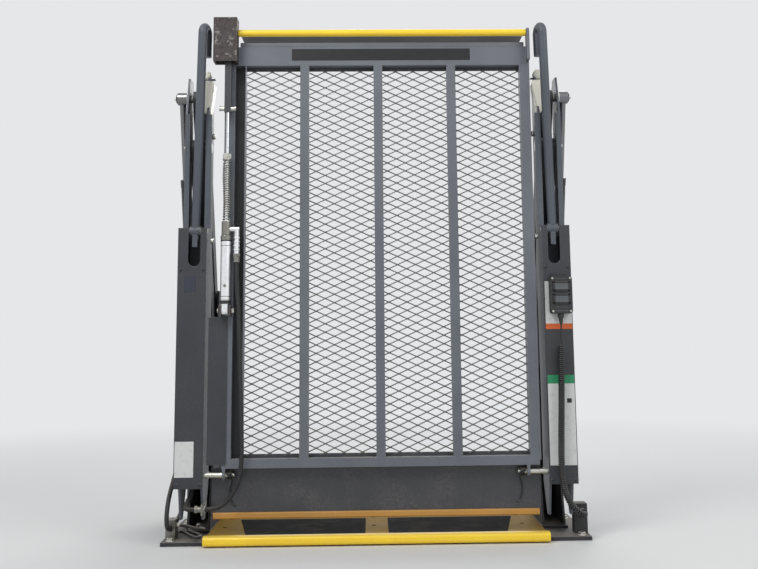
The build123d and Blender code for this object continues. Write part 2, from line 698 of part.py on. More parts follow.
def barrier():
    """The outer barrier with its hinge tube, the block that houses its crank, and its cylinder."""
    y, z = barrier_hinge_y, barrier_hinge_z
    tube = rod_x((barrier_tube_left_x, barrier_tube_right_x), y, z, barrier_tube_radius)
    tube += rod_x((barrier_tube_left_x - block_wall, barrier_tube_left_x), y, z, barrier_pin_radius)
    tube += rod_x((barrier_tube_right_x, barrier_tube_right_x + barrier_lug_thickness + 1), y, z,
                  barrier_pin_radius)
    save("barrier_tube", tube)
    plate_y = (y + barrier_tube_radius, y + barrier_plate_depth)
    plate_x_span = (barrier_tube_left_x + barrier_end_gap, barrier_tube_right_x - barrier_end_gap)
    plate = block(plate_x_span, plate_y, (z, z + barrier_plate_thickness))
    plate += block(plate_x_span, (plate_y[1] - barrier_plate_thickness, plate_y[1]),
                   (z - barrier_lip, z + barrier_plate_thickness))
    save("outer_barrier", plate)

    block_x = (barrier_tube_left_x - 0.5 - block_width, barrier_tube_left_x - 0.5)
    housing = block(block_x, (deck_front_y - block_depth, deck_front_y), (block_bottom_z, block_top_z))
    housing -= block((block_x[0] + block_wall, block_x[1] - block_wall),
                     (deck_front_y - block_depth + block_wall, deck_front_y - block_wall),
                     (block_bottom_z, block_top_z - block_wall))
    housing -= rod_x((block_x[1] - block_wall, block_x[1]), y, z, barrier_pin_radius + pin_clearance)
    save("barrier_block", housing)

    ram = rod_z(ram_x, ram_y, (ram_bottom_z, ram_top_z), ram_radius)
    ram += rod_z(ram_x, ram_y, (ram_top_z, ram_neck_top_z), ram_neck_radius)
    ram -= rod_z(ram_x, ram_y, (ram_bottom_z + ram_wall, ram_top_z - ram_wall), ram_bore_radius)
    ram -= rod_z(ram_x, ram_y, (ram_top_z - ram_wall - 1, ram_neck_top_z), ram_rod_radius + pin_clearance)
    lug_x = (ram_x - ram_foot_width / 2, ram_x + ram_foot_width / 2)
    ram += rod_x(lug_x, ram_y, ram_foot_z, ram_foot_radius)
    ram += block(lug_x, (ram_y - ram_foot_radius, ram_y + ram_foot_radius), (ram_foot_z, ram_bottom_z))
    save("barrier_ram", ram - rod_x(lug_x, ram_y, ram_foot_z, ram_foot_pin_radius))

    cheeks = []
    cheek_near = ram_foot_width / 2 + ram_cheek_gap
    for sign in (-1, 1):
        x = tuple(sorted((ram_x + sign * cheek_near, ram_x + sign * (cheek_near + ram_cheek_width))))
        cheek = block(x, (ram_y - ram_cheek_half_height, deck_front_y),
                      (ram_foot_z - ram_cheek_half_height, ram_foot_z + ram_cheek_half_height))
        cheeks.append(cheek - rod_x(x, ram_y, ram_foot_z, ram_foot_pin_radius))
    pin_half = cheek_near + ram_cheek_width + 2
    cheeks.append(rod_x((ram_x - pin_half, ram_x + pin_half), ram_y, ram_foot_z, ram_foot_pin_radius))
    save("ram_bracket", *cheeks)

    fork_bottom_z = ram_pin_z - fork_pin_radius - fork_eye
    rod = rod_z(ram_x, ram_y, (ram_rod_bottom_z, fork_bottom_z), ram_rod_radius)
    rod += rod_z(ram_x, ram_y, (nut_bottom_z, nut_bottom_z + nut_height), nut_radius)
    spring_z = (spring_bottom_z, nut_bottom_z)
    spring = rod_z(ram_x, ram_y, spring_z, spring_radius)
    spring -= rod_z(ram_x, ram_y, spring_z, spring_radius - spring_wall)
    save("barrier_rod", rod)
    save("barrier_spring", spring)
    fork = block((ram_x - fork_width / 2, ram_x + fork_width / 2),
                 (ram_y - fork_depth / 2, ram_y + fork_depth / 2), (fork_bottom_z, fork_top_z))
    half = fork_pin_length / 2
    fork += rod_x((ram_x - half, ram_x + half), ram_y, ram_pin_z, fork_pin_radius)
    save("barrier_fork", fork)


def pump():
    """The hydraulic pump's housing, behind the left tower."""
    housing = block((pump_left_x, pump_left_x + pump_width), (tower_back_y, tower_back_y + pump_depth),
                    (pump_bottom_z, pump_bottom_z + pump_height))
    save("pump_cover", fillet(housing.edges().filter_by(Axis.Z), pump_corner))


def hoses():
    """The barrier cylinder's hose, down the deck and into the left arm's foot, and the base's hoses."""
    elbow_x, elbow_y, elbow_end_z = platform_hose_route[0]
    elbow = rod_x((ram_x + ram_neck_radius, elbow_x + elbow_radius), elbow_y, elbow_z, elbow_radius)
    elbow += rod_z(elbow_x, elbow_y, (elbow_end_z, elbow_z), elbow_radius)
    save("hose_elbow", elbow)
    save("platform_hose", swept(platform_hose_route, hose_radius))

    x, y, z = arm_hose_route[0]
    near_x = platform_hose_route[-1][0] - running_gap
    plate_face_x = -channel_inner_x
    anchor = block((plate_face_x, plate_face_x + anchor_thickness), (anchor_front_y, anchor_back_y),
                   (z - anchor_half_height, z + anchor_half_height))
    anchor += rod_x((x, near_x), y, z, fitting_radius)
    top_x, top_y, top_z = arm_hose_route[-1]
    union = rod_z(top_x, top_y, (top_z, top_z + 3 * fitting_radius), fitting_radius)
    union += block((top_x - fitting_radius / 2, top_x + fitting_radius / 2),
                   (top_y, riser_back_y - channel_plate),
                   (top_z + fitting_radius, top_z + 2 * fitting_radius))
    save("hose_anchor", anchor, union)
    save("arm_hose", swept(arm_hose_route, hose_radius))

    x, back_y, z = pump_hose_route[-1]
    front_y = tower_hose_route[0][1]
    manifold_x = (x - manifold_width / 2, x + manifold_width / 2)
    manifold = block(manifold_x, (front_y + 10, back_y), (base_thickness, base_thickness + manifold_height))
    manifold += rod_y(tower_hose_route[0][0], (front_y, front_y + 10), z, fitting_radius)
    save("hose_manifold", manifold)

    x, y, z = tower_hose_route[-1]
    valve = block((-channel_outer_x - valve_block_width, -channel_outer_x),
                  (y - valve_block_depth / 2, y + valve_block_depth / 2), (z, z + valve_block_height))
    save("valve_block", valve)
    save("base_hoses", swept(pump_hose_route, hose_radius), swept(tower_hose_route, hose_radius))


def swept(route, radius):
    """A cord's tube along straight runs joined by tangent arcs as large as the runs allow."""
    points = [Vector(*point) for point in route]
    radii = []
    for before, at, after in zip(points, points[1:], points[2:]):
        turn = radians((at - before).get_angle(after - at))
        shorter = min((at - before).length, (after - at).length)
        radii.append(0.45 * shorter / tan(turn / 2))
    path = FilletPolyline(*points, radius=radii)
    print("cord radii", [round(value) for value in radii], "length", round(path.length, 1))
    start = Plane(origin=path @ 0, z_dir=path % 0)
    return sweep(start * Circle(radius), path=path)


def pendant():
    """The hand control on the right arm, its holder, its curly cord and the cord's plug."""
    x = (pendant_x - pendant_width / 2, pendant_x + pendant_width / 2)
    z = (pendant_bottom_z, pendant_bottom_z + pendant_height)
    holder_y = (cover_front_y - holder_thickness, cover_front_y)
    holder_x = (pendant_x - holder_width / 2, pendant_x + holder_width / 2)
    save("pendant_holder", block(holder_x, holder_y, (z[0] + 10, z[1] + 8)))
    front_y = holder_y[0] - pendant_depth
    body = block(x, (front_y, holder_y[0]), z)
    body = fillet(body.edges().filter_by(Axis.Y), pendant_corner)
    save("pendant", body)
    switches = []
    for step in (-0.5, 0.5):
        middle_z = (z[0] + z[1]) / 2 + step * switch_pitch
        switches.append(block((pendant_x - switch_width / 2, pendant_x + switch_width / 2),
                              (front_y - switch_depth, front_y),
                              (middle_z - switch_height / 2, middle_z + switch_height / 2)))
    save("pendant_switches", *switches)
    save("pendant_lead", swept(lead_route, lead_radius))
    save("pendant_curl", swept(curl_route, curl_radius))


def cord_box():
    """The box on the base that the curly cord goes into, with its gland."""
    x, gland_y, z = curl_route[-1]
    face_y = gland_y + gland_length
    nose_y = (face_y, face_y + gland_nose_length)
    box = block((x - cord_box_width / 2, x + cord_box_width / 2), (face_y, face_y + cord_box_depth),
                (base_thickness, base_thickness + cord_box_height))
    save("cord_box", box - rod_y(x, nose_y, z, gland_nose_radius))
    save("cord_gland", rod_y(x, (gland_y, face_y), z, gland_radius) + rod_y(x, nose_y, z, gland_nose_radius))


def main():
    os.makedirs("parts", exist_ok=True)
    floor_plates()
    towers()
    parallel_arms()
    lift_cylinders()
    vertical_arms()
    handrails()
    platform()
    bridge()
    barrier()
    pump()
    hoses()
    pendant()
    cord_box()


main()
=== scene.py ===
import json
from math import cos, pi, radians, sin

import bmesh
import bpy
from mathutils import Matrix, Vector
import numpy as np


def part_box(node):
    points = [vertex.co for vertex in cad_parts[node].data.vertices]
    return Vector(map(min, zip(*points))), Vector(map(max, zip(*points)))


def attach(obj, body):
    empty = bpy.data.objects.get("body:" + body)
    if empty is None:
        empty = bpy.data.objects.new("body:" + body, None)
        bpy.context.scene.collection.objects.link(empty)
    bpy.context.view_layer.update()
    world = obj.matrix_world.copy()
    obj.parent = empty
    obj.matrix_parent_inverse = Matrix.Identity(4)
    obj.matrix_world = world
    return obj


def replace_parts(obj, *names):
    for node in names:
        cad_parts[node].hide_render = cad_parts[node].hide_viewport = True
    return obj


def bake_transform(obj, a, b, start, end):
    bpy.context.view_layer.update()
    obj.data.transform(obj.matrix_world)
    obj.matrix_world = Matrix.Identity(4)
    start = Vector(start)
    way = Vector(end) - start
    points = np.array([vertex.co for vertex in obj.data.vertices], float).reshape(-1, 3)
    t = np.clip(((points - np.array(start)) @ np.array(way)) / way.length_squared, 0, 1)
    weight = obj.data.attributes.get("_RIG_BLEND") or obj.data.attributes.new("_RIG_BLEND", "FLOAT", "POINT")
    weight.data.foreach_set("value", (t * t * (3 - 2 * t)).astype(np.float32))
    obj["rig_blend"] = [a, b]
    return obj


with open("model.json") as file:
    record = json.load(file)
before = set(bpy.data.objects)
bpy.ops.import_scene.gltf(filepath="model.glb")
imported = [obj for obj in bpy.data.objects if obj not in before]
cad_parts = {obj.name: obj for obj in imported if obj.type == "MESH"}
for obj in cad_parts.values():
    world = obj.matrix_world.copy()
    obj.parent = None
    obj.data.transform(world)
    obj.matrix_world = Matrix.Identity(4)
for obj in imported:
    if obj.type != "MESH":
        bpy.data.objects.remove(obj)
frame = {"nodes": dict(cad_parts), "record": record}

bl_info = {
    "name": "Wheelchair lift",
    "version": (1, 0, 0),
    "blender": (4, 5, 0),
    "location": "3D View > Sidebar > Lift",
    "description": "Finishes and details of a folding wheelchair lift, built around its packed frame",
    "category": "Object",
}

# Metres throughout. X runs forward along the vehicle, Y inboard, Z up. The camera looks along +Y.
SIDES = (("left", -1), ("right", 1))
LEFT, RIGHT = (-1, 0, 0), (1, 0, 0)
FRONT, BACK = (0, -1, 0), (0, 1, 0)
DOWN, UP = (0, 0, -1), (0, 0, 1)
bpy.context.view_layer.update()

# The pivots, as Y and Z: arms and cylinder on the towers, arms on the carriage, then platform and handrails
TOWER_UPPER, TOWER_LOWER, CYLINDER_FOOT = (0.12731, 0.62420), (0.10631, 0.47620), (0.12731, 0.53420)
CARRIAGE_UPPER, CARRIAGE_LOWER = (-0.095, 1.235), (-0.116, 1.087)
FOLD_PIVOT, RAIL_PIVOT = (-0.135, 0.182), (-0.138, 0.845)

# The floor of the hose channel beside the deck's left bar, darkened near black as painted shade with some
# dirt: X, Y and Z from and to
SHADED_HOSE_CHANNEL = ((-0.3932, -0.3654), (-0.1268, -0.1200), (0.2252, 1.3178))


def srgb(red, green, blue):
    """A linear colour from the eight-bit values a screen shows."""
    values = []
    for value in (red, green, blue):
        share = value / 255
        values.append(share / 12.92 if share <= 0.04045 else ((share + 0.055) / 1.055) ** 2.4)
    return (*values, 1.0)


def tinted(colour, factor, lift=0.0):
    """The colour made darker or paler."""
    return tuple(min(1.0, part * factor + lift) for part in colour[:3]) + (1.0,)


# Node trees

SOCKET_TYPES = {"Geometry": "NodeSocketGeometry", "Material": "NodeSocketMaterial",
                "Normal": "NodeSocketVector", int: "NodeSocketInt", float: "NodeSocketFloat",
                tuple: "NodeSocketVector"}


class Signal:
    """A node's output that adds, subtracts and multiplies as a number does, each by a Math node."""

    def __init__(self, wiring, socket):
        self.wiring = wiring
        self.socket = socket

    def __add__(self, other):
        return self.wiring.math("ADD", self, other)

    def __sub__(self, other):
        return self.wiring.math("SUBTRACT", self, other)

    def __rsub__(self, other):
        return self.wiring.math("SUBTRACT", other, self)

    def __mul__(self, other):
        return self.wiring.math("MULTIPLY", self, other)

    __radd__ = __add__
    __rmul__ = __mul__


class Wiring:
    """Adds nodes to one tree and links them, so a material reads as a short list of steps."""

    def __init__(self, tree, place=None, shader=None):
        self.tree = tree
        self.place = place
        self.shader = shader

    def put(self, value, socket):
        """Links an output to a socket, or sets the socket's value."""
        if isinstance(value, Signal):
            self.tree.links.new(value.socket, socket)
        else:
            socket.default_value = value

    def node(self, kind, settings=(), **sockets):
        """A node with its properties set, and its sockets given a value or linked, by name or as i0, i1."""
        node = self.tree.nodes.new(kind)
        for key, value in dict(settings).items():
            setattr(node, key, value)
        for key, value in sockets.items():
            numbered = key[0] == "i" and key[1:].isdigit()
            self.put(value, node.inputs[int(key[1:]) if numbered else key.replace("_", " ")])
        return node

    def out(self, kind, which=0, settings=(), **sockets):
        """One output of a new node."""
        return Signal(self, self.node(kind, settings, **sockets).outputs[which])

    def math(self, operation, a, b=0.0, clamp=False):
        return self.out("ShaderNodeMath", 0, {"operation": operation, "use_clamp": clamp}, i0=a, i1=b)

    def vector_math(self, operation, which, **sockets):
        return self.out("ShaderNodeVectorMath", which, {"operation": operation}, **sockets)

    def between(self, value, low, high, start=0.0, end=1.0):
        """Maps a value from low..high to start..end, smoothly and clamped."""
        return self.out("ShaderNodeMapRange", "Result", {"interpolation_type": "SMOOTHSTEP"}, Value=value,
                        From_Min=low, From_Max=high, To_Min=start, To_Max=end)

    def mix(self, share, first, second):
        """One colour over another."""
        return self.out("ShaderNodeMix", 2, {"data_type": "RGBA"}, i0=share, i6=first, i7=second)

    def noise(self, scale, detail=2.0, roughness=0.5, place=None):
        return self.out("ShaderNodeTexNoise", Vector=place or self.place, Scale=scale, Detail=detail,
                        Roughness=roughness)

    def streaks(self, factors, turn=(0.0, 0.0, 0.0)):
        """The place, stretched by a factor along each axis and turned."""
        return self.out("ShaderNodeMapping", Vector=self.place, Scale=factors, Rotation=turn)

    def group(self, name, **sockets):
        """The outputs, by name, of a shader group fed with the piece's own place."""
        node = self.tree.nodes.new("ShaderNodeGroup")
        node.node_tree = GROUPS[name]
        for key, value in {"Place": self.place, **sockets}.items():
            self.put(value, node.inputs[key.replace("_", " ")])
        return {socket.name: Signal(self, socket) for socket in node.outputs}

    def dust(self, top, film):
        return self.group("dust", Top=top, Film=film)["Mask"]

    def shade(self, **sockets):
        """Sets or links the shader's own sockets."""
        for key, value in sockets.items():
            self.put(value, self.shader.inputs[key.replace("_", " ")])

    def bump(self, height, distance, **normal):
        """A bump from a height, on top of a normal if one is given."""
        self.shade(Normal=self.out("ShaderNodeBump", Distance=distance, Height=height, **normal))

    def vector(self, **parts):
        return self.out("ShaderNodeCombineXYZ", **parts)

    def moved(self, geometry, **how):
        return self.out("GeometryNodeTransform", Geometry=geometry, **how)

    def instances(self, points, cell, **turned):
        """The cell set on every point and made real."""
        placed = self.out("GeometryNodeInstanceOnPoints", Points=points, Instance=cell, **turned)
        return self.out("GeometryNodeRealizeInstances", Geometry=placed)

    def joined(self, *parts):
        """Geometry gathered into one."""
        join = self.tree.nodes.new("GeometryNodeJoinGeometry")
        for part in parts:
            self.put(part, join.inputs[0])
        return Signal(self, join.outputs[0])


def new_tree(kind, name, inputs, outputs):
    """A node group with inputs {name: default} and named outputs. Gives wiring, inputs and output node."""
    tree = bpy.data.node_groups.new(name, kind)
    for label, default in inputs.items():
        socket_type = SOCKET_TYPES.get(label) or SOCKET_TYPES[type(default)]
        socket = tree.interface.new_socket(name=label, in_out="INPUT", socket_type=socket_type)
        if default is not None:
            socket.default_value = default
    for label in outputs:
        socket_type = SOCKET_TYPES.get(label, "NodeSocketFloat")
        tree.interface.new_socket(name=label, in_out="OUTPUT", socket_type=socket_type)
    w = Wiring(tree)
    given = {socket.name: Signal(w, socket) for socket in tree.nodes.new("NodeGroupInput").outputs}
    w.place = given.get("Place")
    return w, given, tree.nodes.new("NodeGroupOutput")


def shader_group(name, outputs, **inputs):
    """A shader group that reads a place. It puts out masks, values and normals, and no shader."""
    inputs = {"Place": (0.0, 0.0, 0.0), **{key.replace("_", " "): value for key, value in inputs.items()}}
    return new_tree("ShaderNodeTree", name, inputs, outputs)


def edge_wear_group():
    """Where corners are rubbed: the rounded normal against the true one, broken up by noise."""
    outputs = ("Mask", "Normal")
    w, given, result = shader_group("Edge Wear", outputs, Radius=0.0012, Amount=0.5, Patch_Scale=60.0)
    rounded = w.out("ShaderNodeBevel", 0, {"samples": 4}, Radius=given["Radius"])
    true = w.out("ShaderNodeNewGeometry", "True Normal")
    alike = w.vector_math("DOT_PRODUCT", "Value", i0=rounded, i1=true)
    corner = w.between(1.0 - alike, 0.02, 0.22)
    patches = w.noise(given["Patch Scale"], 4.0, 0.65)
    limit = 1.0 - given["Amount"]
    rubbed = w.between(corner * 0.55 + patches, limit, limit + 0.12)
    w.put(rubbed * corner, result.inputs["Mask"])
    w.put(rounded, result.inputs["Normal"])
    return w.tree


def dust_group():
    """Pale dust that settles on faces that look up and drifts thinly over the rest."""
    w, given, result = shader_group("Settled Dust", ("Mask",), Top=0.5, Film=0.1)
    up = w.out("ShaderNodeSeparateXYZ", "Z", Vector=w.out("ShaderNodeNewGeometry", "Normal"))
    facing = w.between(up, 0.35, 0.95) * given["Top"]
    broad = w.between(w.noise(9.0, 4.0, 0.6), 0.35, 0.75)
    fine = w.between(w.noise(190.0, 2.0, 0.6), 0.3, 0.8)
    settled = facing * (0.45 + broad * 0.55)
    w.put(w.math("ADD", broad * fine * given["Film"], settled, clamp=True), result.inputs["Mask"])
    return w.tree


def grain_group():
    """The orange peel and fine sand of powder coat: a height, and a slight change of shade."""
    w, given, result = shader_group("Powder Grain", ("Height", "Shade"), Grain_Scale=900.0, Peel=0.3)
    sand = w.noise(given["Grain Scale"], 2.0, 0.6)
    w.put(sand + w.noise(170.0, 1.0, 0.4) * given["Peel"], result.inputs["Height"])
    w.put(w.between(sand * 0.4 + w.noise(5.0, 3.0, 0.55) * 0.6, 0.3, 0.7), result.inputs["Shade"])
    return w.tree


def scuff_group():
    """Fine scratches, most of them along Z, and short nicks across."""
    w, given, result = shader_group("Scuffs", ("Mask",), Amount=0.3)
    long_marks = w.noise(1.0, 3.0, 0.7, w.streaks((420.0, 420.0, 14.0), (0.1, 0.06, 0.0)))
    cross_marks = w.noise(1.0, 2.0, 0.7, w.streaks((30.0, 500.0, 600.0), (0.0, 0.25, 0.1)))
    where = w.between(w.noise(7.0, 3.0, 0.6), 0.42, 0.62)
    marks = w.math("MAXIMUM", w.between(long_marks, 0.66, 0.72), w.between(cross_marks, 0.7, 0.76))
    w.put(marks * where * given["Amount"], result.inputs["Mask"])
    return w.tree


def drawn_group():
    """Fine parallel lines of a drawn or turned metal surface, across the given axis."""
    w, given, result = shader_group("Drawn Lines", ("Height", "Tarnish"), Along=(900.0, 900.0, 20.0))
    along = w.vector_math("MULTIPLY", 0, i0=w.place, i1=given["Along"])
    w.put(w.noise(1.0, 3.0, 0.6, along), result.inputs["Height"])
    w.put(w.between(w.noise(42.0, 4.0, 0.62), 0.42, 0.7), result.inputs["Tarnish"])
    return w.tree


GROUPS = {"wear": edge_wear_group(), "dust": dust_group(), "grain": grain_group(), "scuffs": scuff_group(),
          "drawn": drawn_group()}


# Finishes. Every material reads the piece's own place in metres, so a pattern stays on it when it moves


def blank_material(name):
    """A new material with its wiring, which holds its shader and the piece's place."""
    material = bpy.data.materials.new(name)
    material.use_nodes = True
    w = Wiring(material.node_tree, shader=material.node_tree.nodes["Principled BSDF"])
    w.place = w.out("ShaderNodeTexCoord", "Object")
    return material, w


def painted(name, colour, roughness=0.5, grain=900.0, depth=0.00025, peel=0.3, wear=0.5, radius=0.0012,
            under=srgb(150, 148, 145), top=0.5, film=0.1, scuffs=0.3, dust=srgb(150, 142, 130), coat=0.0,
            shade=0.18, painted_shade_box=None):
    """Powder coat or gloss paint: grain, rubbed corners, scratches and dust, and near-black painted shade
    within a box.
    """
    material, w = blank_material(name)
    coatwork = w.group("grain", Grain_Scale=grain, Peel=peel)
    rubbed = w.group("wear", Radius=radius, Amount=wear)
    scuffed = w.group("scuffs", Amount=scuffs)["Mask"]
    dusty = w.dust(top, film)
    surface = w.mix(coatwork["Shade"], tinted(colour, 1 - shade), tinted(colour, 1 + shade))
    surface = w.mix(scuffed, surface, tinted(colour, 1.7, 0.02))
    surface = w.mix(rubbed["Mask"], surface, under)
    surface = w.mix(dusty, surface, dust)
    if painted_shade_box:
        parts = w.node("ShaderNodeSeparateXYZ", Vector=w.place).outputs
        in_painted_shade = 1.0
        for part, (low, high) in zip(parts, painted_shade_box):
            for edge, start, end in ((low, 0.0, 1.0), (high, 1.0, 0.0)):
                in_painted_shade = w.between(Signal(w, part), edge - 0.0003, edge + 0.0003, start, end) * in_painted_shade
        # Near-black painted shade, with some dirt, within the box
        surface = w.mix(in_painted_shade, surface, srgb(24, 25, 27))
    rough = roughness + (coatwork["Shade"] - 0.5) * 0.12
    w.shade(Base_Color=surface, Roughness=w.math("ADD", rough, dusty * 0.3, clamp=True),
            Metallic=rubbed["Mask"] * 0.8, Coat_Weight=coat, Coat_Roughness=0.12)
    w.bump(coatwork["Height"] - (rubbed["Mask"] + scuffed) * 0.5, depth, Normal=rubbed["Normal"])
    return material


def bare_metal(name, colour, roughness=0.3, along=(900.0, 900.0, 25.0), spots=0.35, film=0.08):
    """Plated, turned or drawn metal, with dull spots and a thin film of dirt."""
    material, w = blank_material(name)
    lines = w.group("drawn", Along=along)
    rubbed = w.group("wear", Radius=0.0006, Amount=0.35)
    dusty = w.dust(0.25, film)
    dull = lines["Tarnish"] * spots
    surface = w.mix(dull, colour, srgb(120, 110, 92))
    surface = w.mix(rubbed["Mask"], surface, tinted(colour, 1.15))
    w.shade(Base_Color=w.mix(dusty, surface, srgb(120, 112, 100)),
            Metallic=w.math("SUBTRACT", 1.0, w.math("MAXIMUM", dull, dusty) * 0.6, clamp=True),
            Roughness=w.math("ADD", roughness, dull * 0.35, clamp=True))
    w.bump(lines["Height"], 0.00006, Normal=rubbed["Normal"])
    return material


def moulded(name, colour, roughness=0.5, grain=1400.0, depth=0.00012, film=0.045, top=0.45, coat=0.0):
    """Moulded plastic or rubber: fine texture, soft corners and dust."""
    material, w = blank_material(name)
    texture = w.group("grain", Grain_Scale=grain, Peel=0.2)
    rubbed = w.group("wear", Radius=0.0010, Amount=0.3)
    dusty = w.dust(top, film)
    paler = tinted(colour, 1.25, 0.006)
    surface = w.mix(rubbed["Mask"] * 0.5, w.mix(texture["Shade"], colour, paler), paler)
    w.shade(Base_Color=w.mix(dusty, surface, srgb(140, 134, 124)), Coat_Weight=coat,
            Roughness=w.math("ADD", roughness, dusty * 0.3, clamp=True))
    w.bump(texture["Height"], depth, Normal=rubbed["Normal"])
    return material


def hose_rubber(name, colour):
    """Hydraulic hose: a rubber cover with the wound wrap's marks, read from the piece's own length map."""
    wrap_pitch = 0.0052
    material, w = blank_material(name)
    along = w.out("ShaderNodeAttribute", "Fac", {"attribute_name": "along"})
    turn = w.out("ShaderNodeAttribute", "Fac", {"attribute_name": "turn"})
    wave = w.math("SINE", along * (2 * pi / wrap_pitch) + turn) * 0.5 + 0.5
    texture = w.group("grain", Grain_Scale=1600.0, Peel=0.1)
    dusty = w.dust(0.35, 0.05)
    surface = w.mix(wave * 0.6, colour, tinted(colour, 1.6, 0.003))
    w.shade(Base_Color=w.mix(dusty, surface, srgb(120, 112, 100)),
            Roughness=w.math("ADD", 0.5, dusty * 0.3, clamp=True))
    w.bump(wave + texture["Height"] * 0.3, 0.0004)
    return material


def rusted(name):
    """Dark paint rubbed through to bright steel and brown rust, as on the barrier's block."""
    material, w = blank_material(name)
    rubbed = w.group("wear", Radius=0.002, Amount=0.75, Patch_Scale=45.0)
    streaks = w.noise(1.0, 5.0, 0.7, w.streaks((160.0, 160.0, 34.0)))
    blotches = w.noise(55.0, 5.0, 0.7)
    fine = w.noise(420.0, 3.0, 0.7)
    paint = w.mix(w.between(streaks, 0.35, 0.65), srgb(50, 46, 46), srgb(78, 71, 70))
    brown = w.mix(w.between(fine, 0.3, 0.7), srgb(30, 24, 23), srgb(58, 44, 38))
    rust = w.between(streaks * 0.6 + blotches * 0.4, 0.5, 0.58)
    bright = w.math("MAXIMUM", rubbed["Mask"], w.between(blotches, 0.56, 0.6) * 0.6)
    surface = w.mix(bright, w.mix(rust, paint, brown), srgb(150, 146, 140))
    w.shade(Base_Color=w.mix(w.dust(0.5, 0.1), surface, srgb(118, 111, 102)), Metallic=bright * 0.85,
            Roughness=0.72 - bright * 0.34)
    w.bump(fine + rust * 1.2, 0.0005, Normal=rubbed["Normal"])
    return material


def gritty(name):
    """Anti-slip sheet: coarse grit in black binder, with dust trodden into it."""
    material, w = blank_material(name)
    cells = w.out("ShaderNodeTexVoronoi", "Distance", {"feature": "F1"}, Vector=w.place, Scale=900.0)
    sparkle = w.between(w.noise(1500.0, 1.0), 0.62, 0.7)
    trodden = w.between(w.noise(12.0, 5.0, 0.65), 0.45, 0.75)
    body = w.mix(sparkle, srgb(15, 15, 16), srgb(52, 51, 50))
    w.shade(Base_Color=w.mix(trodden * 0.28, body, srgb(92, 85, 74)), Roughness=0.88)
    w.bump(1.0 - cells, 0.0008)
    return material


def label_stock(name, colour, roughness=0.4):
    """A blank printed label: smooth film, a little dirty and specked."""
    material, w = blank_material(name)
    dirt = w.between(w.noise(90.0, 4.0, 0.65), 0.48, 0.8)
    specks = w.between(w.noise(700.0, 2.0, 0.6), 0.62, 0.75)
    surface = w.mix(dirt * 0.45, colour, tinted(colour, 0.55))
    w.shade(Base_Color=w.mix(specks * 0.35, surface, srgb(96, 90, 82)), Roughness=roughness + dirt * 0.25)
    w.bump(w.noise(260.0, 2.0), 0.00006)
    return material


# Mesh helpers. Each adds one closed shape to a bmesh, at its real place


def turned_loops(bm, start, direction, profile, sides, turn=0.0):
    """Loops of vertices about an axis, one for each (distance along, radius)."""
    along = Vector(direction).normalized()
    side = along.orthogonal().normalized()
    other = along.cross(side)
    loops = []
    for distance, radius in profile:
        centre = Vector(start) + along * distance
        angles = [turn + 2 * pi * k / sides for k in range(sides)]
        loops.append([bm.verts.new(centre + (side * cos(a) + other * sin(a)) * radius) for a in angles])
    return loops


def skin(bm, loops, closed=False):
    """Faces between loops that follow each other. The last meets the first, or both ends are closed."""
    for low, high in zip(loops, loops[1:] + loops[:1] if closed else loops[1:]):
        for k in range(len(low)):
            n = (k + 1) % len(low)
            bm.faces.new((low[k], low[n], high[n], high[k]))
    if not closed:
        bm.faces.new(list(reversed(loops[0])))
        bm.faces.new(loops[-1])


def rod(bm, start, direction, profile, sides=32, turn=0.0):
    """A turned shape: profile is (distance along, radius) from start. Its ends are closed."""
    skin(bm, turned_loops(bm, start, direction, profile, sides, turn))


def ring(bm, centre, direction, profile, sides=40):
    """A ring about an axis: profile is a closed loop of (distance along, radius), outer side first."""
    skin(bm, turned_loops(bm, centre, direction, profile, sides), closed=True)


def collar(height, radius, chamfer, drop, bore=None):
    """The profile of a collar with both rims chamfered, and a closed loop if it has a bore."""
    outside = [(0, radius - drop), (chamfer, radius), (height - chamfer, radius), (height, radius - drop)]
    return outside + ([(height, bore), (0, bore)] if bore else [])


def slab(bm, low, high, bevel=0.0, segments=2):
    """A block between two corners with rounded edges."""
    low, high = Vector(low), Vector(high)
    verts = bmesh.ops.create_cube(bm, size=1.0)["verts"]
    for vert in verts:
        vert.co = Vector([(low[k] + high[k]) / 2 + vert.co[k] * (high[k] - low[k]) for k in range(3)])
    if bevel > 0:
        edges = list({edge for vert in verts for edge in vert.link_edges})
        bmesh.ops.bevel(bm, geom=edges, offset=bevel, segments=segments, profile=0.5, affect="EDGES")


def sheet_outline(bm, points, thickness, axis):
    """A flat plate: an outline of points in order about +axis, thickened back along the axis."""
    direction = Vector(axis).normalized()
    front = [bm.verts.new(Vector(point)) for point in points]
    back = [bm.verts.new(Vector(point) - direction * thickness) for point in points]
    bm.faces.new(front)
    bm.faces.new(list(reversed(back)))
    for k in range(len(points)):
        n = (k + 1) % len(points)
        bm.faces.new((front[k], back[k], back[n], front[n]))


def tube(bm, points, radius, sides=12):
    """A round tube along points, carried without twist. Its points keep their distance and angle."""
    points = [Vector(point) for point in points]
    layers = bm.verts.layers.float
    along_layer = layers.get("along") or layers.new("along")
    turn_layer = layers.get("turn") or layers.new("turn")
    rings = []
    distance = 0.0
    side = None
    for k, point in enumerate(points):
        direction = (points[min(k + 1, len(points) - 1)] - points[max(k - 1, 0)]).normalized()
        if k:
            distance += (point - points[k - 1]).length
            side = (side - direction * side.dot(direction)).normalized()
        else:
            side = direction.orthogonal().normalized()
        other = direction.cross(side)
        size = radius(distance) if callable(radius) else radius
        verts = []
        for step in range(sides):
            angle = 2 * pi * step / sides
            vert = bm.verts.new(point + (side * cos(angle) + other * sin(angle)) * size)
            vert[along_layer] = distance
            vert[turn_layer] = min(angle, 2 * pi - angle) * 2
            verts.append(vert)
        rings.append(verts)
    skin(bm, rings)


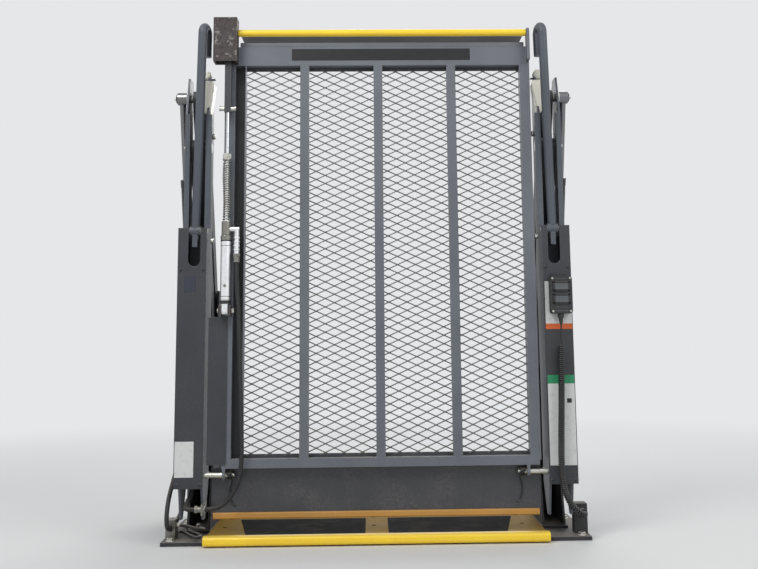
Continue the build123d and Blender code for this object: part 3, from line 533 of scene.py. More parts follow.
def route_curve(name, points, resolution, bevel=0.0):
    """A curve of one open NURBS spline."""
    curve = bpy.data.curves.new(name, "CURVE")
    curve.dimensions = "3D"
    curve.resolution_u = resolution
    curve.bevel_depth = bevel
    spline = curve.splines.new("NURBS")
    spline.points.add(len(points) - 1)
    for point, place in zip(spline.points, points):
        point.co = (*place, 1.0)
    spline.order_u = 3
    spline.use_endpoint_u = True
    return curve


def smooth_line(points, resolution=10):
    """Points along the NURBS line that has these points as its controls."""
    curve = route_curve("line being read", points, resolution)
    holder = linked("line being read", curve)
    bpy.context.view_layer.update()
    mesh = bpy.data.meshes.new_from_object(holder)
    read = [vert.co.copy() for vert in mesh.vertices]
    bpy.data.objects.remove(holder)
    bpy.data.meshes.remove(mesh)
    bpy.data.curves.remove(curve)
    return read


def linked(name, data):
    """A new object in the scene."""
    piece = bpy.data.objects.new(name, data)
    bpy.context.scene.collection.objects.link(piece)
    return piece


def made(name, finish, body, shapes, smooth_angle=25.0):
    """One piece from a list of shapes, each a maker and its values, smooth but for its sharp corners."""
    bm = bmesh.new()
    for maker, *values in shapes:
        maker(bm, *values)
    bm.normal_update()
    mesh = bpy.data.meshes.new(name)
    bm.to_mesh(mesh)
    bm.free()
    piece = linked(name, mesh)
    mesh.materials.append(FINISHES[finish])
    mesh.polygons.foreach_set("use_smooth", [True] * len(mesh.polygons))
    mesh.set_sharp_from_angle(angle=radians(smooth_angle))
    if body:
        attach(piece, body)
    return piece


def applied(piece):
    """The piece's mesh with its modifiers worked out, and the modifiers removed."""
    bpy.context.view_layer.update()
    shape = piece.evaluated_get(bpy.context.evaluated_depsgraph_get())
    mesh = bpy.data.meshes.new_from_object(shape)
    piece.modifiers.clear()
    old = piece.data
    piece.data = mesh
    bpy.data.meshes.remove(old)
    return piece


# Geometry Nodes trees


def geometry_tree(name, **inputs):
    """A geometry tree with its inputs by name and default, and a material: wiring, inputs, output node."""
    named = {key.replace("_", " "): value for key, value in inputs.items()}
    return new_tree("GeometryNodeTree", name, {"Geometry": None, **named, "Material": None}, ("Geometry",))


def run_tree(piece, tree, **values):
    """Adds the tree to a piece with its inputs set, works it out and leaves a plain mesh."""
    modifier = piece.modifiers.new(tree.name, "NODES")
    modifier.node_group = tree
    for item in tree.interface.items_tree:
        key = item.name.replace(" ", "_").lower()
        if item.in_out == "INPUT" and key in values:
            modifier[item.identifier] = values[key]
    return applied(piece)


def put_out(w, given, result, geometry):
    """The tree, with the geometry put out in its material."""
    w.put(w.out("GeometryNodeSetMaterial", Geometry=geometry, Material=given["Material"]), result.inputs[0])
    return w.tree


def deck_mesh_tree():
    """Expanded metal: crossed strands with a flat bond, set on two staggered grids."""
    w, given, result = geometry_tree(
        "Expanded Metal", Columns=17, Rows=47, Pitch_Across=0.0508, Pitch_Up=0.0234, Strand_Width=0.0026,
        Strand_Depth=0.0022, Strand_Tilt=0.5, Bond_Length=0.009, Middle=(0.0, 0.0, 0.0))
    across, up = given["Pitch Across"], given["Pitch Up"]
    width, depth = given["Strand Width"], given["Strand Depth"]
    profile = w.out("GeometryNodeCurvePrimitiveQuadrilateral", Width=width, Height=depth)
    cell = []
    for lean in (1.0, -1.0):
        line = w.out("GeometryNodeCurvePrimitiveLine",
                     Start=w.vector(X=across * -0.25, Z=up * (-0.25 * lean)),
                     End=w.vector(X=across * 0.25, Z=up * (0.25 * lean)))
        tilted = w.out("GeometryNodeSetCurveTilt", Curve=line, Tilt=given["Strand Tilt"] * lean)
        cell.append(w.out("GeometryNodeCurveToMesh", Curve=tilted, Profile_Curve=profile, Fill_Caps=True))
    bond_size = w.vector(X=given["Bond Length"], Y=depth * 0.9, Z=width * 1.7)
    cell.append(w.moved(w.out("GeometryNodeMeshCube", "Mesh", Size=bond_size), Rotation=(0.35, 0.0, 0.0)))
    grids = []
    for fewer in (0.0, 1.0):
        columns = given["Columns"] - fewer
        rows = given["Rows"] - fewer
        grid = w.out("GeometryNodeMeshGrid", "Mesh", Size_X=(columns - 1.0) * across,
                     Size_Y=(rows - 1.0) * up, Vertices_X=columns, Vertices_Y=rows)
        grids.append(w.moved(grid, Rotation=(pi / 2, 0.0, 0.0)))
    whole = w.moved(w.instances(w.joined(*grids), w.joined(*cell)), Translation=given["Middle"])
    return put_out(w, given, result, w.joined(whole, given["Geometry"]))


def row_tree():
    """A block repeated along a step, as for ribs, louvres and weld beads."""
    w, given, result = geometry_tree("Row of Blocks", Size=(0.05, 0.004, 0.003), Start=(0.0, 0.0, 0.0),
                                     Step=(0.0, 0.0, 0.01), Count=6)
    line = w.out("GeometryNodeMeshLine", Count=given["Count"], Start_Location=given["Start"],
                 Offset=given["Step"])
    blocks = w.instances(line, w.out("GeometryNodeMeshCube", "Mesh", Size=given["Size"]))
    return put_out(w, given, result, w.joined(blocks, given["Geometry"]))


def fastener_tree():
    """A head on its washer at each point, standing along the point's own facing."""
    w, given, result = geometry_tree("Fasteners", Head_Sides=6, Head_Radius=0.009, Head_Height=0.006,
                                     Crown=0.6, Washer_Radius=0.012, Washer_Height=0.0015)
    sides, radius = given["Head Sides"], given["Head Radius"]
    rim, washer = given["Washer Radius"], given["Washer Height"]
    lower = given["Head Height"] * 0.8
    crown = radius * (1.0 - given["Crown"] * 0.3)
    stack = (
        ("Cone", 0.0, {"Vertices": 28, "Radius_Top": rim * 0.96, "Radius_Bottom": rim, "Depth": washer}),
        ("Cylinder", washer + lower * 0.5, {"Vertices": sides, "Radius": radius, "Depth": lower}),
        ("Cone", washer + lower, {"Vertices": sides, "Radius_Top": crown, "Radius_Bottom": radius,
                                  "Depth": given["Head Height"] * 0.2}),
    )
    parts = [w.moved(w.out("GeometryNodeMesh" + kind, "Mesh", **sizes), Translation=w.vector(Z=base))
             for kind, base, sizes in stack]
    facing = w.out("GeometryNodeInputNamedAttribute", 0, {"data_type": "FLOAT_VECTOR"}, Name="facing")
    turned = w.out("FunctionNodeAlignRotationToVector", 0, {"axis": "Z"}, Vector=facing)
    heads = w.instances(given["Geometry"], w.joined(*parts), Rotation=turned)
    return put_out(w, given, result, w.out("GeometryNodeSetShadeSmooth", Geometry=heads,
                                           Shade_Smooth=False))


def marked_points(name, places):
    """An object of loose points for the fastener tree: places are (point, facing)."""
    mesh = bpy.data.meshes.new(name)
    mesh.from_pydata([place for place, facing in places], [], [])
    facings = mesh.attributes.new("facing", "FLOAT_VECTOR", "POINT")
    for mark, (place, facing) in zip(facings.data, places):
        mark.vector = facing
    return linked(name, mesh)


# What a user would change


def paint(name, description, *shown):
    """A colour property, its default given as eight-bit values."""
    return bpy.props.FloatVectorProperty(name=name, description=description, subtype="COLOR", size=4,
                                         min=0.0, max=1.0, default=srgb(*shown))


def number(name, description, default, low, high, **more):
    """A whole number or a fraction, as its default is."""
    maker = bpy.props.IntProperty if isinstance(default, int) else bpy.props.FloatProperty
    return maker(name=name, description=description, default=default, min=low, max=high, **more)


class LiftColours(bpy.types.PropertyGroup):
    """The paints and plastics of the lift."""

    deck_paint: paint("Deck paint", "Powder coat of the platform's bars and guards", 98, 102, 109)
    # Kept darker than the vertical arms' paint, as painted shade low on the covers
    arm_paint: paint("Arm paint", "Textured powder coat of the arms and their covers", 48, 51, 56)
    # Also on the vertical arms, as a paler copy of the arm paint: painted light on the upper parts
    rail_paint: paint("Handrail paint", "Paint of the two handrails", 74, 79, 88)
    base_paint: paint("Base paint", "Powder coat of the base plate and its posts", 38, 39, 43)
    bridge_paint: paint("Bridge paint", "Smooth paint of the bridge plate", 57, 58, 62)
    mesh_paint: paint("Mesh paint", "Dipped coat of the expanded metal deck", 60, 62, 66)
    safety_yellow: paint("Safety yellow", "Gloss paint of the nosing and the barrier's tube", 254, 210, 44)
    strip_yellow: paint("Strip yellow", "Deeper yellow of the bridge plate's edge", 180, 130, 54)
    black_plastic: paint("Black plastic", "Covers, hand control and cord", 30, 30, 32)
    label_white: paint("Label white", "Blank plates on the arms' covers", 208, 209, 206)


class LiftSizes(bpy.types.PropertyGroup):
    """Sizes of the parts that the scene adds."""

    mesh_columns: number("Mesh columns", "Diamonds across the deck", 17, 4, 40)
    mesh_rows: number("Mesh rows", "Diamonds up the deck", 47, 8, 90)
    strand_width: number("Strand width", "Face width of a mesh strand", 0.0027, 0.001, 0.008, unit="LENGTH")
    strand_depth: number("Strand depth", "Thickness of a mesh strand", 0.0022, 0.0005, 0.003, unit="LENGTH")
    cord_wire: number("Cord diameter", "Diameter of the curly cord's own wire", 0.005, 0.003, 0.007,
                      unit="LENGTH")
    coil_pitch: number("Coil pitch", "Rise of one turn of the curly cord where it hangs relaxed", 0.0054,
                       0.0052, 0.02, unit="LENGTH")
    spring_wire: number("Spring wire", "Wire diameter of the barrier's return spring", 0.003, 0.001, 0.004,
                        unit="LENGTH")
    spring_turns: number("Spring turns", "Turns of the barrier's return spring", 26, 6, 45)


class LiftStage(bpy.types.PropertyGroup):
    """The studio round the lift."""

    lamp_level: number("Lamp level", "Share of the planned lamp power", 1.0, 0.1, 3.0)
    sky_level: number("Sky level", "Strength of the even light all round", 0.55, 0.0, 1.0)
    floor_colour: paint("Floor colour", "Colour of the plain floor", 214, 214, 212)


FINISHES = {}


def make_finishes(colours):
    """Builds every material from the user's colours and files them by slot or by use."""
    plastic = tuple(colours.black_plastic)
    FINISHES.update({
        "base_paint": painted("base paint", tuple(colours.base_paint), 0.55, wear=0.42, top=0.6, film=0.12),
        "yellow_paint": painted(
            "safety yellow", tuple(colours.safety_yellow), 0.34, grain=300.0, depth=0.00008, peel=0.6,
            wear=0.55, top=0.25, film=0.14, scuffs=0.6, coat=0.25, shade=0.08, under=srgb(98, 70, 46)),
        "strip_yellow": painted(
            "strip yellow", tuple(colours.strip_yellow), 0.42, grain=300.0, depth=0.00008, peel=0.6,
            wear=0.62, radius=0.0014, top=0.2, film=0.22, scuffs=0.8, coat=0.1, shade=0.16,
            under=srgb(98, 56, 38)),
        # Yellow darkened partly by wear and dirt and partly as painted shade, on the threshold plate and its
        # screws
        "trodden_yellow": painted(
            "trodden yellow", srgb(152, 118, 30), 0.55, grain=300.0, depth=0.0001, peel=0.4, wear=0.6,
            radius=0.0014, top=0.25, film=0.15, scuffs=0.9, shade=0.3, dust=srgb(84, 76, 50),
            under=srgb(84, 60, 44)),
        "grip_black": gritty("anti-slip grit"),
        "zinc": bare_metal("zinc plate", srgb(206, 206, 198), 0.28, spots=0.4),
        "arm_paint": painted("arm paint", tuple(colours.arm_paint), 0.5, grain=620.0, depth=0.00042,
                             peel=0.5, wear=0.54, top=0.45, film=0.07, scuffs=0.6),
        "pump_plastic": moulded("pump cover", srgb(38, 38, 40), 0.58, grain=1100.0, depth=0.0002,
                                film=0.08),
        "cylinder_black": painted("cylinder black", srgb(34, 34, 36), 0.36, grain=500.0, depth=0.0001,
                                  wear=0.4, top=0.4, film=0.07, coat=0.15),
        "chrome_rod": bare_metal("hard chrome", srgb(224, 226, 230), 0.12, (1400.0, 1400.0, 8.0), 0.15,
                                 0.04),
        "rail_paint": painted("handrail paint", tuple(colours.rail_paint), 0.44, grain=700.0, top=0.4,
                              film=0.12, scuffs=0.7),
        "deck_paint": painted("deck paint", tuple(colours.deck_paint), 0.46, grain=760.0, depth=0.0003,
                              wear=0.6, radius=0.0016, top=0.4, film=0.08, scuffs=0.85, painted_shade_box=SHADED_HOSE_CHANNEL),
        "mesh_steel": painted("mesh coat", tuple(colours.mesh_paint), grain=500.0, depth=0.0001, wear=0.35,
                              radius=0.0006, film=0.2, scuffs=0.2),
        "bridge_paint": painted("bridge paint", tuple(colours.bridge_paint), 0.42, grain=500.0,
                                depth=0.00012, peel=0.5, wear=0.4, top=0.3, film=0.2, scuffs=0.8, coat=0.1),
        "barrier_paint": painted("barrier paint", srgb(52, 54, 59), 0.48, scuffs=0.5),
        "worn_steel": rusted("worn housing"),
        "ram_silver": bare_metal("machined barrel", srgb(244, 245, 247), 0.3, (60.0, 60.0, 1500.0), 0.2),
        "spring_steel": bare_metal("spring steel", srgb(186, 184, 176), 0.34, spots=0.45),
        "pendant_plastic": moulded("hand control shell", plastic, 0.46, 1300.0, 0.00016, coat=0.05),
        "switch_plastic": moulded("rocker plastic", srgb(26, 26, 29), 0.3, 600.0, 0.00004, coat=0.3),
        "cord_rubber": moulded("curly cord", plastic, 0.42, 900.0, 0.00006, film=0.05, top=0.3),
        "hose_rubber": hose_rubber("wound hose", srgb(24, 24, 26)),
        "label_white": label_stock("label white", tuple(colours.label_white)),
        "label_dark": label_stock("label dark", srgb(52, 53, 56)),
        "label_black": label_stock("label black", srgb(20, 20, 22), 0.35),
        "label_orange": label_stock("label orange", srgb(206, 96, 44)),
        "label_green": label_stock("label green", srgb(38, 138, 92)),
        "label_blue": label_stock("reflective square", srgb(48, 52, 66), 0.2),
        "bezel": moulded("pale plastic", srgb(70, 74, 77), 0.4, 900.0, 0.00006),
        "cream_plastic": moulded("cream bumper", srgb(222, 218, 204), 0.4, 900.0, 0.00008, film=0.25),
        "dull_zinc": bare_metal("dull zinc", srgb(138, 137, 132), 0.36, spots=0.7, film=0.25),
        # Chrome darkened partly by an oil film and dust and partly as painted shade on the lift rods
        "oiled_shaded_rod": bare_metal("oil-filmed shaded rod", srgb(128, 130, 134), 0.2, (1400.0, 1400.0, 8.0), 0.4,
                                0.35),
        "black_steel": painted("black spring steel", srgb(26, 26, 28), 0.4, grain=400.0, depth=0.00005,
                               wear=0.4, radius=0.0005, film=0.05, coat=0.1),
        "dark_gap": painted("shadow gap", srgb(14, 14, 15), 0.7, wear=0.1, scuffs=0.0),
    })
    for name in ("trodden_yellow", "grip_black"):
        shader = FINISHES[name].node_tree.nodes["Principled BSDF"]
        shader.inputs["Specular IOR Level"].default_value = 0.12


# Nodes that wear another finish than their slot's
REPAINTED = {
    "threshold_plate": "trodden_yellow", "bridge_edge": "strip_yellow", "lift_rod_left": "oiled_shaded_rod",
    # The vertical arms wear the paler handrail paint as painted light, above their darker covers in arm
    # paint
    "lift_rod_right": "oiled_shaded_rod", "edge_cover": "arm_paint", "vertical_arm_left": "rail_paint",
    "vertical_arm_right": "rail_paint", "barrier_fork": "arm_paint", "hose_manifold": "dull_zinc",
    "hose_anchor": "dull_zinc", "hose_elbow": "ram_silver", "valve_block": "dull_zinc",
    "tower_pins": "dull_zinc",
}


class LIFT_OT_paint_frame(bpy.types.Operator):
    """Gives every node of the frame the finish of its slot, or the other finish listed for it"""

    bl_idname = "lift.paint_frame"
    bl_label = "Paint the frame"

    def execute(self, context):
        make_finishes(context.scene.lift_colours)
        for subpart in frame["record"]["subparts"]:
            name = subpart["node"]
            for holder in frame["nodes"][name].material_slots:
                holder.material = FINISHES[REPAINTED.get(name, subpart["material_slot"])]
        return {"FINISHED"}


class LIFT_OT_deck_mesh(bpy.types.Operator):
    """Expanded metal across the platform, with its flat rim"""

    bl_idname = "lift.deck_mesh"
    bl_label = "Deck mesh"

    def execute(self, context):
        sizes = context.scene.lift_sizes
        low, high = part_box("platform_mesh")
        pitch_x = (high.x - low.x) / sizes.mesh_columns
        pitch_z = (high.z - low.z) / sizes.mesh_rows
        rim, inset = 0.010, 0.0002
        side_rim = 0.25 * pitch_x + 0.0015
        foot, head = low.z + rim, high.z - rim
        bm = bmesh.new()
        for x0, z0, x1, z1 in ((low.x, head, high.x, high.z), (low.x, low.z, high.x, foot),
                               (low.x, foot, low.x + side_rim, head),
                               (high.x - side_rim, foot, high.x, head)):
            slab(bm, (x0, low.y + inset, z0), (x1, high.y - inset, z1), 0.0006, 1)
        mesh = bpy.data.meshes.new("deck_mesh")
        bm.to_mesh(mesh)
        bm.free()
        piece = linked("deck_mesh", mesh)
        run_tree(piece, deck_mesh_tree(), columns=sizes.mesh_columns, rows=sizes.mesh_rows,
                 pitch_across=pitch_x, pitch_up=pitch_z, strand_width=sizes.strand_width,
                 strand_depth=sizes.strand_depth, middle=(low + high) / 2, material=FINISHES["mesh_steel"])
        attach(piece, "platform")
        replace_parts(piece, "platform_mesh")
        return {"FINISHED"}


LEAD_ROUTE = [(0.5085, -0.17225, 0.606), (0.5085, -0.17225, 0.592), (0.5085, -0.1723, 0.566),
              (0.5072, -0.1729, 0.534)]
CURL_ROUTE = [(0.507, -0.173, 0.524), (0.504, -0.1745, 0.440), (0.501, -0.175, 0.350),
              (0.497, -0.1755, 0.262), (0.495, -0.177, 0.190), (0.500, -0.178, 0.138),
              (0.518, -0.176, 0.096), (0.545, -0.169, 0.072), (0.560, -0.151, 0.066),
              (0.560, -0.128, 0.066)]
# The coil's outer radius, the pitch of its pulled turns, and how far down the route they begin and are full
COIL_REACH, PULLED_PITCH, PULLED_FROM, PULLED_OVER = 0.0095, 0.0078, 0.40, 0.05
# The plain ends of the route, and how long the coil takes to widen at its head and to narrow at its foot
COIL_END, WIDENING, NARROWING = 0.004, 0.012, 0.016


def curled(route, radius, pitch, steps=12):
    """A helix round a route, its turns pulled open further on and its ends drawn in to the middle."""
    line = smooth_line(route, 12)
    lengths = [0.0]
    for before, after in zip(line, line[1:]):
        lengths.append(lengths[-1] + (after - before).length)
    whole = lengths[-1]
    points = []
    side = Vector((1.0, 0.0, 0.0))
    distance = COIL_END
    angle = 0.0
    k = 0
    while distance < whole - COIL_END:
        while lengths[k + 1] < distance:
            k += 1
        share = (distance - lengths[k]) / (lengths[k + 1] - lengths[k])
        middle = line[k].lerp(line[k + 1], share)
        direction = (line[k + 1] - line[k]).normalized()
        side = (side - direction * side.dot(direction)).normalized()
        other = direction.cross(side)
        reach = radius * sin(min(1.0, distance / WIDENING, (whole - distance) / NARROWING) * pi / 2)
        points.append(middle + (side * cos(angle) + other * sin(angle)) * reach)
        angle += 2 * pi / steps
        opened = max(0.0, min(1.0, (distance - PULLED_FROM) / PULLED_OVER))
        distance += (pitch + (PULLED_PITCH - pitch) * opened) / steps
    return points


class LIFT_OT_curly_cord(bpy.types.Operator):
    """The hand control's curly cord, from its relief down the arm and into the gland"""

    bl_idname = "lift.curly_cord"
    bl_label = "Curly cord"

    def execute(self, context):
        sizes = context.scene.lift_sizes
        gland = Vector(CURL_ROUTE[-1])
        route = [Vector(point) for point in LEAD_ROUTE]
        route += curled(CURL_ROUTE, COIL_REACH - sizes.cord_wire / 2, sizes.coil_pitch)
        route += [gland + Vector((0.0, -0.003, 0.0)), gland]
        curve = route_curve("curly_cord", route, 3, sizes.cord_wire / 2)
        curve.bevel_resolution = 2
        curve.use_fill_caps = True
        curve.materials.append(FINISHES["cord_rubber"])
        cord = linked("curly_cord", curve)
        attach(cord, "carriage")
        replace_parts(cord, "pendant_lead", "pendant_curl")

        profile = [(0.0, 0.0075), (0.003, 0.0075), (0.0035, 0.0062)]
        for rib in range(6):
            start, size = 0.0045 + rib * 0.0038, 0.0060 - rib * 0.00038
            profile += [(start + along, radius) for along, radius in collar(0.0028, size, 0.0006, 0.0008)]
        profile += [(0.0285, 0.0034), (0.029, 0.0026)]
        ribbed = [(rod, LEAD_ROUTE[0], DOWN, profile, 24)]
        relief = made("cord_relief", "cord_rubber", "carriage", ribbed, 32.0)
        line = smooth_line(route, 3)
        return {"FINISHED"}


PLATFORM_HOSE = [(-0.381, -0.170, 0.776), (-0.3805, -0.170, 0.711), (-0.3750, -0.1695, 0.626),
                 (-0.3705, -0.170, 0.541), (-0.3670, -0.169, 0.456), (-0.3645, -0.1685, 0.376),
                 (-0.3620, -0.169, 0.301), (-0.3600, -0.170, 0.240), (-0.3630, -0.170, 0.191),
                 (-0.376, -0.169, 0.149), (-0.401, -0.167, 0.114), (-0.429, -0.165, 0.098),
                 (-0.4555, -0.165, 0.098)]
ARM_HOSE = [(-0.484, -0.165, 0.098), (-0.500, -0.165, 0.098), (-0.512, -0.154, 0.099),
            (-0.513, -0.133, 0.106), (-0.505, -0.118, 0.122), (-0.500, -0.112, 0.148),
            (-0.499, -0.108, 0.185), (-0.499, -0.107, 0.230), (-0.499, -0.1075, 0.290)]
PUMP_HOSE = [(-0.562, 0.17531, 0.070), (-0.562, 0.13831, 0.070), (-0.563, 0.066, 0.058),
             (-0.561, -0.018, 0.040), (-0.561, -0.060, 0.040)]
TOWER_HOSE = [(-0.560, -0.110, 0.040), (-0.560, -0.128, 0.040), (-0.562, -0.143, 0.054),
              (-0.563, -0.141, 0.084), (-0.563, -0.118, 0.122), (-0.561, -0.070, 0.162),
              (-0.558, -0.005, 0.214), (-0.556, 0.062, 0.280), (-0.550, 0.12031, 0.3402),
              (-0.545, 0.14331, 0.3922), (-0.545, 0.14331, 0.4302)]
# Small lines between the manifold and the tower's foot, low beside the threshold
JUMPERS = (
    [(-0.548, -0.090, 0.046), (-0.536, -0.092, 0.046), (-0.514, -0.102, 0.044), (-0.492, -0.124, 0.043),
     (-0.474, -0.122, 0.040), (-0.470, -0.094, 0.034), (-0.478, -0.066, 0.030), (-0.492, -0.048, 0.034),
     (-0.498, -0.031, 0.034)],
    [(-0.548, -0.074, 0.026), (-0.537, -0.075, 0.026), (-0.520, -0.088, 0.023), (-0.504, -0.116, 0.022),
     (-0.488, -0.140, 0.022), (-0.474, -0.136, 0.022), (-0.476, -0.104, 0.021), (-0.500, -0.074, 0.020),
     (-0.516, -0.052, 0.024), (-0.518, -0.031, 0.024)],
)
HOSE_RADIUS, JUMPER_RADIUS = 0.006, 0.0042
FERRULE = [(-0.001, 0.0064), (0.0, 0.0084), (0.004, 0.0088), (0.0045, 0.0080), (0.009, 0.0080),
           (0.0095, 0.0088), (0.013, 0.0088), (0.0135, 0.0080), (0.018, 0.0080), (0.0185, 0.0088),
           (0.0225, 0.0086), (0.024, 0.0064)]
CRIMPED_ENDS = (PUMP_HOSE[0], PUMP_HOSE[-1], TOWER_HOSE[-1])
HOSE_NUT = collar(0.0084, 0.0104, 0.0006, 0.0006)
JUMPER_END = [(-0.002, 0.0052), (0.0, 0.0062), (0.006, 0.0062), (0.0065, 0.0054), (0.013, 0.0054),
              (0.014, 0.0044)]


def tubes(routes, radius, resolution, sides):
    """The shapes of hoses or thin lines along their routes."""
    return [(tube, smooth_line(route, resolution), radius, sides) for route in routes]


class LIFT_OT_hoses(bpy.types.Operator):
    """Hydraulic hoses with their wound covers and crimped ferrules"""

    bl_idname = "lift.hoses"
    bl_label = "Hoses"

    def execute(self, context):
        pieces = {}
        for node, routes, body in (("platform_hose", [PLATFORM_HOSE], None),
                                   ("arm_hose", [ARM_HOSE], "carriage"),
                                   ("base_hoses", [PUMP_HOSE, TOWER_HOSE], "base")):
            name = node.removesuffix("s") + "_rubber"
            pieces[node] = made(name, "hose_rubber", body, tubes(routes, HOSE_RADIUS, 12, 20), 32.0)
        down = pieces["platform_hose"]
        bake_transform(down, "platform", "carriage", start=PLATFORM_HOSE[7], end=PLATFORM_HOSE[-1])
        for node, piece in pieces.items():
            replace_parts(piece, node)
        jumpers = tubes(JUMPERS, JUMPER_RADIUS, 10, 12)
        made("jumper_lines", "black_steel", "base", jumpers, 32.0)
        fittings = []
        for route in JUMPERS:
            for end, near in ((route[0], route[1]), (route[-1], route[-2])):
                fittings.append((rod, end, Vector(near) - Vector(end), JUMPER_END, 6))
        made("jumper_fittings", "zinc", "base", fittings)

        ends = {
            "platform": [(PLATFORM_HOSE[0], DOWN)],
            "carriage": [(PLATFORM_HOSE[-1], LEFT), (ARM_HOSE[0], RIGHT), (ARM_HOSE[-1], UP)],
            "base": [(PUMP_HOSE[0], FRONT), (PUMP_HOSE[-1], FRONT), (TOWER_HOSE[0], BACK),
                     (TOWER_HOSE[-1], DOWN)],
        }
        for body, places in ends.items():
            shapes = []
            for end, direction in places:
                place, along = Vector(end), Vector(direction)
                if body == "platform" or end in CRIMPED_ENDS:
                    shapes.append((rod, place - along * 0.001, direction, FERRULE, 28))
                nut = place - along * 0.002 if body == "platform" else place
                shapes.append((rod, nut, direction, HOSE_NUT, 6))
            made(f"{body}_hose_fittings", "dull_zinc", body, shapes)
        return {"FINISHED"}


def spring_line(x, y, bottom, top, mean, wire, turns, steps=20):
    """The coil's middle line: its end turns shut, and its length bowed a little to the side."""
    shut_turns, bow = 1.5, 0.0016
    points = []
    for step in range(turns * steps + 1):
        angle = 2 * pi * step / steps
        share = step / (turns * steps)
        shut = min(1.0, share * turns / shut_turns, (1 - share) * turns / shut_turns)
        height = bottom + wire + (top - bottom - 2 * wire) * share
        end_z = bottom + wire if share < 0.5 else top - wire
        sway = bow * sin(2 * pi * share)
        points.append((x + sway + mean * cos(angle), y + mean * sin(angle),
                       end_z + (height - end_z) * shut))
    return points


class LIFT_OT_barrier_cylinder(bpy.types.Operator):
    """The barrier cylinder's return spring, with its nut, bands, gland and pin ends"""

    bl_idname = "lift.barrier_cylinder"
    bl_label = "Barrier cylinder"

    def execute(self, context):
        sizes = context.scene.lift_sizes
        low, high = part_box("barrier_spring")
        x, y, nut_z = (low.x + high.x) / 2, (low.y + high.y) / 2, high.z
        bottom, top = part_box("barrier_ram")[1].z + 0.001, high.z - 0.001
        wire = sizes.spring_wire / 2
        coil = spring_line(x, y, bottom, top, (high.x - low.x) / 2 - wire, wire, sizes.spring_turns)
        spring = made("return_spring", "spring_steel", None, [(tube, coil, wire, 8)], 60.0)
        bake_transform(spring, "platform", "barrier_rod", start=(x, y, bottom), end=(x, y, top))
        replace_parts(spring, "barrier_spring")

        def rings(heights, profile, sides):
            return [(ring, (x, y, z), UP, profile, sides) for z in heights]

        made("spring_nut", "zinc", "barrier_rod", [
            (rod, (x, y, nut_z + 0.0012), UP, collar(0.0145, 0.0123, 0.001, 0.0011), 6),
            (rod, (x, y, nut_z - 0.0012), UP, [(0, 0.0122), (0.0005, 0.0128), (0.0020, 0.0128),
                                               (0.0024, 0.0122)], 36),
        ])
        elbow_x = PLATFORM_HOSE[0][0]
        made("elbow_rings", "ram_silver", "platform", [
            (ring, (elbow_x, y, z), UP, collar(0.006, 0.0086, 0.0008, 0.0010, 0.0066), 28)
            for z in (0.786, 0.797, 0.808, 0.819)])
        made("ram_bands", "black_steel", "platform", [
            *rings([0.6405], collar(0.009, 0.0145, 0.0006, 0.0006, 0.0130), 48),
            *rings([0.8120], collar(0.005, 0.0145, 0.0006, 0.0006, 0.0130), 48)])
        made("ram_neck_sleeve", "dull_zinc", "platform", rings([0.8295], [
            (0, 0.0118), (0.0008, 0.0126), (0.0376, 0.0126), (0.0384, 0.0112), (0.0384, 0.0098),
            (0, 0.0098)], 40))
        made("ram_gland", "dull_zinc", "platform", [
            *rings((0.650, 0.660, 0.799), collar(0.002, 0.0147, 0.0006, 0.0005, 0.0130), 48),
            *rings([0.828], [(-0.0105, 0.0143), (-0.0095, 0.0150), (-0.0012, 0.0150), (0.0008, 0.0138),
                             (0.0008, 0.0099), (-0.0105, 0.0099)], 48),
            *rings([0.838], collar(0.010, 0.0123, 0.0005, 0.0011, 0.0098), 6),
            (rod, (x, y - 0.0135, 0.690), FRONT, [(0, 0.0038), (0.0016, 0.0038), (0.0020, 0.0032)], 20),
        ])
        foot_z, pin_z = 0.622, 1.187
        made("foot_pin_ends", "zinc", "platform", [
            (rod, (x - 0.018, y, foot_z), LEFT, collar(0.003, 0.0074, 0.0008, 0.0008), 28),
            (rod, (x + 0.018, y, foot_z), RIGHT, collar(0.007, 0.0080, 0.0006, 0.0008), 6)])
        for name, reach, profile in (
                ("fork_pin_sleeves", 0.0091, [(0, 0.0064), (0.0118, 0.0064)]),
                ("fork_pin_ends", 0.0205, [(0, 0.0068), (0.0006, 0.0074), (0.0022, 0.0074),
                                           (0.0028, 0.0066)])):
            made(name, "zinc", "barrier_rod", [
                (rod, (x + side * reach, y, pin_z), (side, 0, 0), profile, 28) for _, side in SIDES])
        return {"FINISHED"}


# The front of the beam at the platform's head
HEADER_Y = -0.148
# Left, right, lower and upper edge of each plate. Those on the right cover stand in one column
PLATES = (
    ("header_strip", "label_black", [(-0.233, 0.277, 1.333, 1.367)]),
    ("cover_square", "label_blue", [(-0.525, -0.495, 0.675, 0.720)]),
    ("white_plates", "label_white", [(-0.543, -0.492, 0.179, 0.273), (0.470, 0.543, 0.579, 0.696),
                                     (0.470, 0.543, 0.198, 0.416)]),
    ("orange_stripe", "label_orange", [(0.470, 0.543, 0.564, 0.579)]),
    ("dark_plate", "label_dark", [(0.470, 0.543, 0.439, 0.564)]),
    ("green_stripe", "label_green", [(0.470, 0.543, 0.416, 0.439)]),
    ("plate_mark", "label_black", [(0.521, 0.534, 0.364, 0.376)]),
)


class LIFT_OT_plates(bpy.types.Operator):
    """Blank plates and coloured stripes on the header and the arms' covers"""

    bl_idname = "lift.plates"
    bl_label = "Plates and stripes"

    def execute(self, context):
        cover_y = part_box("arm_cover_left")[0].y
        faces = {"header_strip": ("platform", HEADER_Y), "plate_mark": ("carriage", cover_y - 0.0004)}
        made("header_flange", "deck_paint", "platform", [
            (slab, (-0.3800, HEADER_Y - 0.0002, 1.3725), (0.4330, HEADER_Y + 0.0018, 1.3860), 0.0006, 2)])
        for name, finish, plates in PLATES:
            body, y = faces.get(name, ("carriage", cover_y))
            made(name, finish, body, [(slab, (x0, y - 0.0006, z0), (x1, y + 0.0002, z1), 0.0003, 1)
                                      for x0, x1, z0, z1 in plates])
        return {"FINISHED"}


